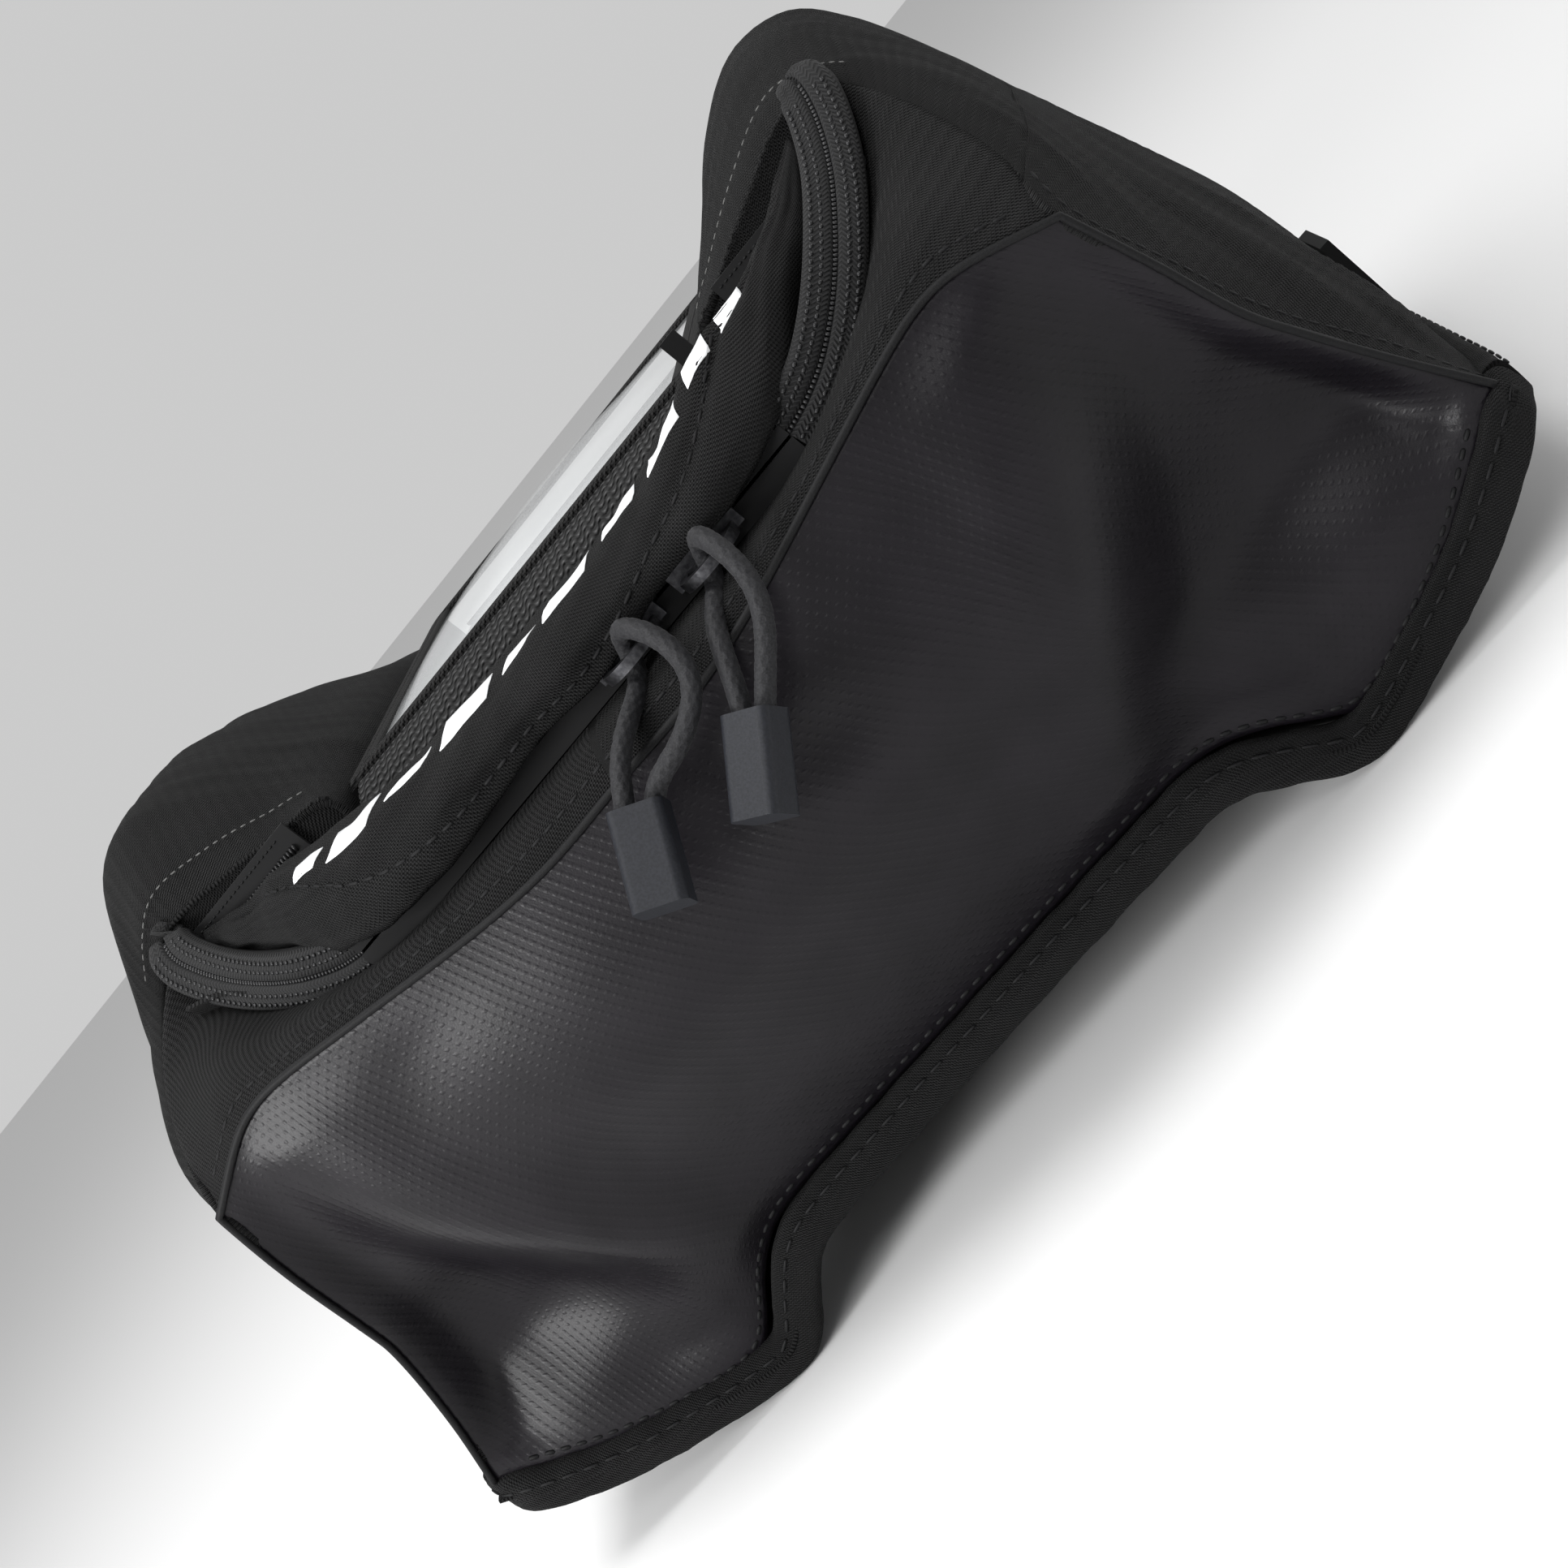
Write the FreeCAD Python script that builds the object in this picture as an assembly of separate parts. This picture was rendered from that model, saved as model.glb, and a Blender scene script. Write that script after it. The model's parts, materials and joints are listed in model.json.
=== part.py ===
import FreeCAD, Part
import math
import os

# Motorcycle tank bag with a saddle-shaped underside, two raised side pods and a lid between them.
# Frame: +X to the rider's right as seen from the front panel, +Y away from the rider, +Z up.
# The origin is at the bottom centre of the bag, without its pull cords. Millimetres.

V = FreeCAD.Vector

# Overall sizes
width = 351.0             # over the hem, side to side
length = 284.0            # front belly to rear belly
pod_height = 202.0        # crest of the side pods
deck_height = 150.0       # top edge of the bag's walls

# Layers
skin = 2.0                # embossed vinyl and woven fabric with their backing
front_pad = 5.0           # foam behind the front panel
hem_out = 3.5             # how far the padded hem stands proud of the wall
hem_in = 3.5              # how far it wraps inside the wall
hem_height = 11.0
base_sheet = 3.0          # rubber-faced base
board = 2.0               # stiffener over the base plateau
fold_gap = 0.4            # gap between pieces on different bodies

# Saddle profile of the bottom edge, from the centre outwards
arch_half = 68.0
arch_height = 20.0
arch_shoulder = 80.0
arch_shoulder_height = 13.0
foot_x = 98.0
foot_height = 0.0
wing_height = 29.0
end_zone = 46.0           # how far the front wall's pieces reach back, at most

# Front panel: how far its upper seam lies below the deck
seam_mid_drop = 19.0
seam_quarter_drop = 17.0
seam_shoulder_drop = 6.0
seam_corner_drop = 16.0
seam_quarter_x = 45.0
shoulder_x = 111.0

# Lid, its rolled lip and the map window
lid_half = 66.0
lip_half = 88.0
lid_board = 5.5
lip_overhang = 7.0         # how far the lip reaches in front of the zip
lip_back_setback = 56.0    # from the front belly
lip_drop = 0.6             # below the deck
lip_rise = 14.0            # above the deck
lid_rear_inset = 20.0      # from the rear belly
window_front_setback = 80.0
window_rear_setback = 54.0
window_frame = 6.0
frame_inset = 0.5          # from the lid's edge to the frame
window_depth = 9.0
film = 0.8
film_crown = 6.0
mesh_depth = 1.6
tab_width = 16.0
tab_height = 9.0
tab_thick = 1.6
tab_foot = 4.8

# Corner panels, from the front wall up to each pod, and the ends of the main zip on them
corner_wall = 2.5
corner_rise = 24.0
corner_front_setback = 33.0
corner_inset = 43.0        # from the widest wall to the panel's outer edge
corner_pod_gap = 6.0
zip_end_width = 13.0
zip_end_thick = 2.0
zip_end_start = 4.0        # from the panel's front edge
zip_end_margin = 3.6       # from the panel's outer edge, at the pod

# Side pods
pod_lid_gap = 1.5
pod_crest_inset = 55.0     # from the widest wall to the crest
pod_front_setback = 74.0
pod_rear_setback = 24.0
pod_inner_wall = 16.0      # upright wall beside the lid
pod_front_rise = 34.0      # crest of its front end, above the deck
pod_rear_rise = 22.0
pod_crest_fall = 5.0       # from the crest to the pod's rear half
pod_swell = 28.0           # from its front end to its full height
pod_straight = 62.0
pod_wall_inset = 22.5      # its outer foot, from the widest wall
pod_front_tuck = 2.5
pod_rear_tuck = 4.5
pod_wall = 2.5
pod_slot = 5.0
pod_zip_rise = 17.7        # above the deck
pod_zip_start = 14.0       # from the pod's inner foot
pod_zip_margin = 25.5      # from its outer foot
pod_tape_width = 12.0
pod_tape = 1.0
pod_tape_gap = 0.2
pod_slider_height = 6.0
pod_slider_length = 8.0
pod_slider_depth = 3.1
pod_tab_drop = 9.0

# Main zip: tape, coil and sliders
zip_setback = 22.0
zip_drop = 4.0             # below the deck
tape = 0.8
tape_width = 5.4
coil_depth = 2.0
coil_height = 1.7
coil_split = 0.8           # between the two coils
zip_end_tuck = 16.0        # the straight stretch ends this far inside the lip's ends
slider_length = 20.0
slider_drop = 3.3          # its lower edge, below the zip's middle
slider_plate = 1.6
slider_gap = 0.6           # from its plates to the tape and coil
slider_post = 0.5
slider_meet_x = 31.0       # where the closed sliders meet
slider_apart = 5.0
bail_reach = 9.5           # from the slider's face to the middle of the bail's bar
bail_width = 16.0
bail_bar = 2.4
bail_rear_bar = 1.3
bail_drop = 2.5            # the bar's middle, below the zip

# Pull cords and their moulded ends
cord_d = 4.4
end_length = 15.0
end_cap = 6.0
end_width = 12.0
end_thick = 9.0
cord_reach = 19.0          # how far the routes below hang out in front of the bail's bar
cord_stand_off = 9.1       # of the hanging part from the front belly

# Folded webbing tabs on the gussets, for the tank straps
strap_width = 25.0
strap_thick = 2.8
strap_length = 22.0
strap_height = 44.0
strap_y = -20.0
strap_gap = 0.1

# Board over the base's plateau
board_front_setback = 62.0
board_rear_setback = 34.0

half = width / 2
front = -length / 2
rear = length / 2
far = 600.0
wall_x = half - hem_out
lip_low = deck_height - lip_drop
lid_low = deck_height + fold_gap
lid_top = lid_low + lid_board
zip_height = deck_height - zip_drop
zip_half = lip_half - zip_end_tuck
seam_corner_inset = 33.5   # of the wall's corner, at the seam
window_half = lid_half - window_frame

os.makedirs("parts", exist_ok=True)


# The horizontal outline of the bag's walls at a few heights, from the foot to the deck.
# Each has its height as a share of the deck's, then how far the front corner and the side stand in from the widest wall,
# then how far the front's middle, shoulder and corner and the rear's middle and corner stand back.
class Level:
    def __init__(self, height, corner, side, mid, shoulder, corner_back, rear_mid, rear_corner):
        self.z = height * deck_height
        self.corner_x = wall_x - corner
        self.side_x = wall_x - side
        self.mid_y = front + mid
        self.shoulder_y = front + shoulder
        self.corner_y = front + corner_back
        self.rear_mid_y = rear - rear_mid
        self.rear_corner_y = rear - rear_corner


levels = [
    Level(-0.013, 2.0, 0.0, 41.5, 42.0, 43.0, 11.0, 19.0),
    Level(0.253, 2.0, 0.0, 41.5, 42.0, 43.0, 11.0, 19.0),
    Level(0.387, 11.0, 1.0, 16.0, 24.0, 40.0, 5.0, 18.0),
    Level(0.52, 20.0, 2.0, 4.0, 12.0, 35.0, 1.5, 16.0),
    Level(0.633, 25.0, 4.0, 0.0, 8.5, 28.0, 0.0, 16.0),
    Level(0.767, 29.5, 8.0, 1.0, 9.0, 20.0, 1.0, 17.0),
    Level(0.873, seam_corner_inset, 12.0, 5.0, 12.0, 15.5, 4.0, 18.0),
    Level(0.94, 36.0, 16.0, zip_setback + 8.0, zip_setback + 2.0, zip_setback + 4.0, 8.0, 19.0),
    Level(1.0, 40.0, 21.0, zip_setback + 9.0, zip_setback + 8.0, zip_setback + 9.0, 13.0, 22.0),
]


def inset(points, depth):
    """Moves a closed counter-clockwise outline inwards by depth, corner by corner."""
    moved = []
    count = len(points)
    for i in range(count):
        before = points[i] - points[i - 1]
        after = points[(i + 1) % count] - points[i]
        n1 = V(-before.y, before.x, 0).normalize()
        n2 = V(-after.y, after.x, 0).normalize()
        moved.append(points[i] + (n1 + n2) * (depth / (1 + n1.dot(n2))))
    return moved


def ring(level, depth):
    """The wall outline at one level, moved in by depth."""
    right_front = [
        V(level.corner_x * 0.35, level.mid_y * 0.85 + level.shoulder_y * 0.15, level.z),
        V(level.corner_x * 0.75, level.shoulder_y, level.z),
        V(level.corner_x, level.corner_y, level.z),
        V(level.side_x, level.corner_y + 45.0, level.z),
    ]
    right_rear = [
        V(level.side_x, level.rear_corner_y - 40.0, level.z),
        V(level.corner_x, level.rear_corner_y, level.z),
        V(level.corner_x * 0.6, level.rear_mid_y, level.z),
    ]
    right = right_front + right_rear
    left = [V(-p.x, p.y, p.z) for p in reversed(right)]
    front_mid = [V(0, level.mid_y, level.z)]
    rear_mid = [V(0, level.rear_mid_y, level.z)]
    return inset(front_mid + right + rear_mid + left, depth)


def closed(points):
    return Part.makePolygon(list(points) + [points[0]])


def hull(depth):
    """The whole bag below the deck as one solid, its walls moved in by depth."""
    return Part.makeLoft([closed(ring(level, depth)) for level in levels], True, True)


def plate(points, start, depth, across="y"):
    """An outline of (x, z) pairs pushed along Y, or of (y, z) pairs pushed along X."""
    if across == "y":
        corners = [V(a, start, b) for a, b in points]
        push = V(0, depth, 0)
    else:
        corners = [V(start, a, b) for a, b in points]
        push = V(depth, 0, 0)
    return Part.Face(closed(corners)).extrude(push)


def box(low, high):
    size = [high[i] - low[i] for i in range(3)]
    return Part.makeBox(size[0], size[1], size[2], V(*low))


def mirrored(shape):
    return shape.mirror(V(0, 0, 0), V(1, 0, 0))


def both_sides(points):
    """An outline's right half, from the centre outwards, as the whole line from left to right."""
    return [(-x, z) for x, z in reversed(points) if x > 0] + list(points)


def save(name, shape):
    solids = shape.Solids
    if len(solids) != 1 or not shape.isValid():
        print("CHECK", name, "solids", len(solids), "valid", shape.isValid())
    if len(solids) == 1:
        shape = solids[0]
    shape.exportStep("parts/" + name + ".step")
    size = shape.optimalBoundingBox(False)
    print("%-24s %7.1f cm3  x %6.1f %6.1f  y %6.1f %6.1f  z %6.1f %6.1f" % (
        name, shape.Volume / 1000, size.XMin, size.XMax, size.YMin, size.YMax, size.ZMin, size.ZMax))


# Walls: lines that split the shell into its sewn panels
hem_line = [(0, arch_height), (arch_half, arch_height), (arch_shoulder, arch_shoulder_height),
            (foot_x, foot_height), (half, wing_height)]
wall_line = [(x, z + hem_height) for x, z in hem_line]
outline_right = [(level.corner_x, level.z) for level in levels]
seam_line = [(0, deck_height - seam_mid_drop), (seam_quarter_x, deck_height - seam_quarter_drop),
             (shoulder_x, deck_height - seam_shoulder_drop),
             (wall_x - seam_corner_inset, deck_height - seam_corner_drop),
             (far, deck_height - seam_corner_drop)]

above_hem = plate(both_sides(wall_line + [(far, wing_height + hem_height)])
                  + [(far, far), (-far, far)], -far, 2 * far)
hem_band = plate(both_sides(hem_line + [(far, wing_height)])
                 + list(reversed(both_sides(wall_line + [(far, wing_height + hem_height)]))),
                 -far, 2 * far)
between_corners = plate([(-x, z) for x, z in reversed(outline_right)] + outline_right, -far, 2 * far)
front_zone = box((-far, -far, -far), (far, front + end_zone, far))
rear_zone = box((-far, rear - end_zone / 2, -far), (far, far, far))
right_half = box((0, -far, -far), (far, far, far))
left_half = box((-far, -far, -far), (0, far, far))
below_seam = plate(both_sides(seam_line) + [(far, -far), (-far, -far)], -far, 2 * far)

outer = hull(0.0)
lined = hull(skin)
padded = hull(skin + front_pad)
shell = outer.cut(lined).common(above_hem)
pad_shell = lined.cut(padded).common(above_hem)
front_part = between_corners.common(front_zone)
rear_part = between_corners.common(rear_zone)

front_shell = shell.common(front_part)
front_pads = pad_shell.common(front_part)
side_shell = shell.cut(front_part).cut(rear_part)
rear_shell = shell.common(rear_part)

save("front_panel", front_shell.common(below_seam))
save("front_foam", front_pads.common(below_seam))
save("front_band", front_shell.cut(below_seam))
save("gusset_right", side_shell.common(right_half))
save("gusset_left", side_shell.common(left_half))
save("rear_panel", rear_shell)

# Hem: the padded binding round the bottom edge, in the four lengths that it is sewn in
hem_shell = hull(-hem_out).cut(hull(hem_in)).common(hem_band)
hem_sides = hem_shell.cut(front_part).cut(rear_part)
save("hem_front", hem_shell.common(front_part))
save("hem_rear", hem_shell.common(rear_part))
save("hem_right", hem_sides.common(right_half))
save("hem_left", hem_sides.common(left_half))

# Base: the rubber-faced saddle sheet inside the hem, and the board that keeps its plateau flat
base_low = [(x, z - base_sheet) for x, z in wall_line]
base_zone = plate(both_sides(base_low) + list(reversed(both_sides(wall_line))), -far, 2 * far)
save("base_sheet", hull(hem_in).common(base_zone))
board_low = arch_height + hem_height
board_zone = box((-arch_half, front + board_front_setback, board_low),
                 (arch_half, rear - board_rear_setback, board_low + board))
save("base_board", board_zone)


# Side pods: hollow pockets that stand on the deck beside the lid
pod_inner_x = lid_half + pod_lid_gap
pod_crest_x = wall_x - pod_crest_inset
pod_outer_x = wall_x - pod_wall_inset
pod_front = front + pod_front_setback
pod_rear = rear - pod_rear_setback


def pod_section(y, low_x, outer_x, crest_z, depth):
    """One upright section of the right pod, from its floor over the crest, moved in by depth."""
    floor = deck_height + fold_gap + depth
    return [
        V(low_x + depth, y, floor),
        V(outer_x - depth, y, floor),
        V(outer_x - 6.0 - depth, y, floor + (crest_z - floor) * 0.62),
        V(pod_crest_x + 7.0 - depth * 0.5, y, crest_z - depth),
        V(pod_crest_x - 9.0 + depth * 0.5, y, crest_z - depth),
        V(low_x + 24.0, y, floor + (crest_z - floor) * 0.7),
        V(low_x + depth, y, floor + pod_inner_wall - depth),
    ]


def pod(depth):
    swell_y = pod_front + pod_swell
    sections = [
        pod_section(pod_front + depth, pod_inner_x, pod_outer_x - pod_front_tuck,
                    deck_height + pod_front_rise, depth),
        pod_section(swell_y, pod_inner_x, pod_outer_x, pod_height, depth),
        pod_section(swell_y + pod_straight, pod_inner_x, pod_outer_x,
                    pod_height - pod_crest_fall, depth),
        pod_section(pod_rear - depth, pod_inner_x, pod_outer_x - pod_rear_tuck,
                    deck_height + pod_rear_rise, depth),
    ]
    return Part.makeLoft([closed(s) for s in sections], True, True)


pod_zip_z = deck_height + pod_zip_rise
pod_zip_low_x = pod_inner_x + pod_zip_start
pod_zip_high_x = pod_outer_x - pod_front_tuck - pod_zip_margin
pod_mouth = box((pod_zip_low_x, pod_front - pod_wall, pod_zip_z - pod_slot / 2),
                (pod_zip_high_x, pod_front + 4 * pod_wall, pod_zip_z + pod_slot / 2))
pod_right = pod(0.0).cut(pod(pod_wall)).cut(pod_mouth)
save("pod_right", pod_right)
save("pod_left", mirrored(pod_right))

# Pod zips: a tape with its coil over the pocket's mouth, and a slider with a thumb tab at its outer end
pod_tape_y = pod_front - pod_tape_gap - pod_tape
pod_tape_end = pod_slot / 2
pod_zip = box((pod_zip_low_x - pod_tape_end, pod_tape_y, pod_zip_z - pod_tape_width / 2),
              (pod_zip_high_x + pod_tape_end, pod_tape_y + pod_tape, pod_zip_z + pod_tape_width / 2))
save("pod_zip_right", pod_zip)
save("pod_zip_left", mirrored(pod_zip))
pod_slider_face = pod_tape_y - fold_gap
pod_slider_x = pod_zip_high_x - pod_slider_length
pod_slider = box((pod_slider_x, pod_slider_face - pod_slider_depth, pod_zip_z - pod_slider_height / 2),
                 (pod_zip_high_x, pod_slider_face, pod_zip_z + pod_slider_height / 2))
thumb_tab = box((pod_slider_x + 2.0, pod_slider_face - pod_slider_depth, pod_zip_z - pod_tab_drop),
                (pod_zip_high_x - 2.0, pod_slider_face - pod_slider_depth + 1.5, pod_zip_z))
pod_slider = pod_slider.fuse(thumb_tab).removeSplitter()
save("pod_slider_right", pod_slider)
save("pod_slider_left", mirrored(pod_slider))

# Lid: a padded board between the pods that widens into a rolled lip in front of them
lid_rear = rear - lid_rear_inset
lip_back = front + lip_back_setback
save("lid_board", box((-lid_half, lip_back, lid_low), (lid_half, lid_rear, lid_top)))
lip_front = front + zip_setback - lip_overhang
lip_top = deck_height + lip_rise
lip_outline = [(lip_front + 1.5, lip_low), (lip_front + 9.0, lip_low), (lip_front + 16.5, lid_low),
               (lip_back, lid_low), (lip_back, lid_top), (lip_back - 8.0, lip_top - 4.0),
               (lip_back - 18.0, lip_top), (lip_front + 8.0, lip_top - 1.0),
               (lip_front + 1.0, lip_top - 5.0), (lip_front, lip_low + 4.0)]
save("lid_lip", plate(lip_outline, -lip_half, 2 * lip_half, "x"))

# Map window: a frame on the lid, the clear film crowned over it, and the mesh strip in front
window_front = front + window_front_setback
window_rear = rear - window_rear_setback
window_length = window_rear - window_front
frame_outer_x = lid_half - frame_inset
window_ring = box((-frame_outer_x, window_front, lid_top),
                  (frame_outer_x, window_rear, lid_top + window_depth))
window_well = box((-window_half, window_front + window_frame, lid_top),
                  (window_half, window_rear + 1.0, lid_top + window_depth))
save("window_frame", window_ring.cut(window_well))
film_low = lid_top + window_depth
film_arc = Part.Arc(V(-window_half, window_front, film_low),
                    V(0, window_front, film_low + film_crown),
                    V(window_half, window_front, film_low)).toShape()
film_arc_top = Part.Arc(V(window_half, window_front, film_low + film),
                        V(0, window_front, film_low + film_crown + film),
                        V(-window_half, window_front, film_low + film)).toShape()
film_ends = [Part.makeLine(V(s * window_half, window_front, film_low),
                           V(s * window_half, window_front, film_low + film)) for s in (1, -1)]
film_wire = Part.Wire(Part.__sortEdges__([film_arc, film_ends[0], film_arc_top, film_ends[1]]))
save("window_film", Part.Face(film_wire).extrude(V(0, window_length, 0)))
mesh_back = window_front - fold_gap
mesh_outline = [(lip_back, lid_top), (mesh_back, lid_top + window_depth - mesh_depth),
                (mesh_back, lid_top + window_depth), (lip_back, lid_top + mesh_depth)]
save("mesh_strip", plate(mesh_outline, -window_half, 2 * window_half, "x"))
gather = plate(mesh_outline, window_half, frame_outer_x - window_half, "x")
save("gather_right", gather)
save("gather_left", mirrored(gather))

# Webbing tabs beside the window: the right one stands up, the left one lies flat
tab_front = window_front + 4.0
tab_right = box((frame_outer_x - tab_foot, tab_front, film_low),
                (frame_outer_x, tab_front + tab_thick, film_low + tab_height))
tab_left = box((-frame_outer_x, tab_front, film_low),
               (tab_foot - frame_outer_x, tab_front + tab_width, film_low + tab_thick))
save("tab_right", tab_right)
save("tab_left", tab_left)

# Corner panels: hollow wedges that carry the front band up to each pod
corner_low_x = lip_half + fold_gap
corner_high_x = wall_x - corner_inset
corner_front = front + corner_front_setback
corner_back = pod_front - corner_pod_gap
corner_top = deck_height + fold_gap + corner_rise


def wedge(depth):
    low = deck_height + fold_gap + depth
    outline = [(corner_front + depth * 3, low), (corner_back - depth, low),
               (corner_back - depth, corner_top - depth * 1.4)]
    return plate(outline, corner_low_x + depth, corner_high_x - corner_low_x - 2 * depth, "x")


corner_right = wedge(0.0).cut(wedge(corner_wall))
save("front_corner_right", corner_right)
save("front_corner_left", mirrored(corner_right))

# Main zip ends: both tapes folded together and sewn down, climbing the corner panel to the pod
slope = corner_rise / (corner_back - corner_front)
slope_base = deck_height + fold_gap


def on_slope(y, lift):
    return slope_base + (y - corner_front) * slope + lift


zip_end_front = corner_front + zip_end_start
zip_end_slab = plate([(zip_end_front, on_slope(zip_end_front, 0.05)),
                      (corner_back, on_slope(corner_back, 0.05)),
                      (corner_back, on_slope(corner_back, zip_end_thick)),
                      (zip_end_front, on_slope(zip_end_front, zip_end_thick))],
                     -far, 2 * far, "x")
zip_end_low_x = corner_low_x + 1.0
zip_end_high_x = corner_high_x - zip_end_margin
zip_end_foot = [V(zip_end_low_x, zip_end_front, 0),
                V(zip_end_low_x + zip_end_width, zip_end_front, 0),
                V(zip_end_high_x, corner_back, 0),
                V(zip_end_high_x - zip_end_width, corner_back, 0)]
zip_end_right = Part.Face(closed(zip_end_foot)).extrude(V(0, 0, far)).common(zip_end_slab)
save("main_zip_end_right", zip_end_right)
save("main_zip_end_left", mirrored(zip_end_right))

# Main zip: a tape with a coil on the bag and one on the lid, with a split between them
zip_y = front + zip_setback
zip_gap = coil_split / 2
lower_top = zip_height - zip_gap
upper_low = zip_height + zip_gap
upper_top = lip_low - 0.05
tape_back = zip_y + tape / 2
save("zip_tape_lower", box((-zip_half, zip_y - tape / 2, lower_top - tape_width),
                           (zip_half, tape_back, lower_top)))
save("zip_tape_upper", box((-zip_half, zip_y - tape / 2, upper_low),
                           (zip_half, tape_back, upper_top)))
save("zip_coil_lower", box((-zip_half, tape_back, lower_top - coil_height),
                           (zip_half, tape_back + coil_depth, lower_top)))
save("zip_coil_upper", box((-zip_half, tape_back, upper_low),
                           (zip_half, tape_back + coil_depth, upper_low + coil_height)))

# Sliders: a plate on each face of the zip, joined by a thin post in the split, with a D-shaped bail
slider_low = zip_height - slider_drop
slider_high = lip_low - fold_gap
plate_front = zip_y - tape / 2 - slider_gap
plate_rear = tape_back + coil_depth + slider_gap
post_y = plate_front - slider_plate / 2
bar_y = plate_front - slider_plate - bail_reach
bar_z = zip_height - bail_drop


def slider(x):
    """The slider's body, centred on x."""
    low_x = x - slider_length / 2
    high_x = x + slider_length / 2
    face = box((low_x, plate_front - slider_plate, slider_low), (high_x, plate_front, slider_high))
    back = box((low_x, plate_rear, slider_low), (high_x, plate_rear + slider_plate, slider_high))
    post = box((x - 3.0, post_y, zip_height - slider_post / 2),
               (x + 3.0, plate_rear + slider_plate / 2, zip_height + slider_post / 2))
    return face.fuse(back).fuse(post).removeSplitter()


def bail(x):
    """The D-shaped loop that the cord passes through: a flat ring with a round front."""
    side = bail_width / 2
    rear_y = plate_front - slider_plate
    straight_y = bar_y + side * 0.55
    low_z = bar_z - bail_bar / 2

    def ring_face(half_width, front_y, back_y):
        bow = Part.Arc(V(x - half_width, straight_y, low_z), V(x, front_y, low_z),
                       V(x + half_width, straight_y, low_z)).toShape()
        corners = [V(x + half_width, straight_y, low_z), V(x + half_width, back_y, low_z),
                   V(x - half_width, back_y, low_z), V(x - half_width, straight_y, low_z)]
        return Part.Face(Part.Wire([bow] + Part.makePolygon(corners).Edges))

    solid = ring_face(side, bar_y - bail_bar / 2, rear_y).extrude(V(0, 0, bail_bar))
    hole = ring_face(side - bail_bar, bar_y + bail_bar / 2, rear_y - bail_rear_bar)
    return solid.cut(hole.extrude(V(0, 0, bail_bar)))


left_x = slider_meet_x - slider_apart / 2 - slider_length / 2
right_x = slider_meet_x + slider_apart / 2 + slider_length / 2
save("slider_left", slider(left_x))
save("slider_right", slider(right_x))
save("bail_left", bail(left_x))
save("bail_right", bail(right_x))


# Pull cords: each goes from its moulded end under the bail's bar, round behind it and back over it.
# The points are measured from the middle of the bar. What hangs in front of it reaches over the belly.
outward = (bar_y - front + cord_stand_off) / cord_reach
left_route = [(-21.0, -18.6, -16.8), (-16.9, -14.6, -11.6), (-12.6, -10.2, -8.4), (-8.4, -5.4, -6.6),
              (-5.0, -0.8, -5.6), (-2.8, 3.6, -4.2), (-0.6, 5.6, -0.1), (1.6, 3.8, 4.1),
              (3.8, -0.4, 5.6), (6.4, -4.8, 4.3), (8.6, -8.2, 1.0), (9.6, -11.0, -3.4),
              (9.0, -13.6, -7.9), (6.3, -15.7, -11.5), (2.0, -17.1, -14.0), (-3.0, -17.9, -15.7),
              (-8.2, -18.0, -16.5), (-12.6, -18.0, -17.4), (-16.4, -19.2, -20.0)]
right_route = [(-15.9, -18.9, -22.3), (-13.0, -15.8, -17.8), (-11.0, -12.2, -13.9), (-9.4, -8.2, -10.6),
               (-7.6, -4.2, -7.8), (-5.2, -0.6, -5.7), (-3.0, 3.6, -4.2), (-0.8, 5.6, -0.1),
               (1.4, 3.8, 4.1), (3.1, -0.4, 5.6), (4.5, -4.7, 4.6), (5.5, -8.3, 1.4),
               (5.7, -10.9, -3.0), (4.7, -13.1, -7.6), (2.3, -15.3, -11.8), (-1.3, -17.3, -15.5),
               (-5.3, -18.9, -18.7), (-8.9, -20.3, -21.6), (-12.2, -21.8, -24.4)]


def tube(points, diameter, name):
    """A round tube along straight runs joined by tangent arcs."""
    edges = []
    start = points[0]
    radii = []
    for i in range(1, len(points) - 1):
        to_here = points[i] - points[i - 1]
        to_next = points[i + 1] - points[i]
        half_turn = to_here.getAngle(to_next) / 2
        reach = 0.45 * min(to_here.Length, to_next.Length)
        radii.append(reach / math.tan(half_turn))
        into = points[i] - V(to_here).normalize() * reach
        away = points[i] + V(to_next).normalize() * reach
        inner = V(to_next).normalize() - V(to_here).normalize()
        middle = points[i] + inner.normalize() * (radii[-1] / math.cos(half_turn) - radii[-1])
        edges.append(Part.LineSegment(start, into).toShape())
        edges.append(Part.Arc(into, middle, away).toShape())
        start = away
    edges.append(Part.LineSegment(start, points[-1]).toShape())
    path = Part.Wire(edges)
    section = Part.Wire([Part.makeCircle(diameter / 2, points[0], points[1] - points[0])])
    solid = path.makePipeShell([section], True, False)
    round_area = math.pi * diameter * diameter / 4
    print(name, "length %.1f" % path.Length, "least radius %.1f" % min(radii),
          "volume ratio %.3f" % (solid.Volume / (round_area * path.Length)))
    return solid


def cord_end(top, along, across):
    """The moulded end and its cap: top is the middle of the face that the cord enters."""
    turn = FreeCAD.Rotation(across, V(0, 0, 0), along, "ZXY")
    side = end_width / 2
    deep = end_thick / 2
    round_edge = 2.0
    body = box((-side, -deep, 0), (side, deep, end_length))
    body = body.makeFillet(round_edge, [e for e in body.Edges if abs(e.tangentAt(0).z) > 0.9])
    cap = box((-side, -deep, end_length), (side, deep, end_length + end_cap))
    cap = cap.makeFillet(round_edge, [e for e in cap.Edges if abs(e.tangentAt(0).z) > 0.9])
    for shape in (body, cap):
        shape.Placement = FreeCAD.Placement(top, turn)
    return body, cap


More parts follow.
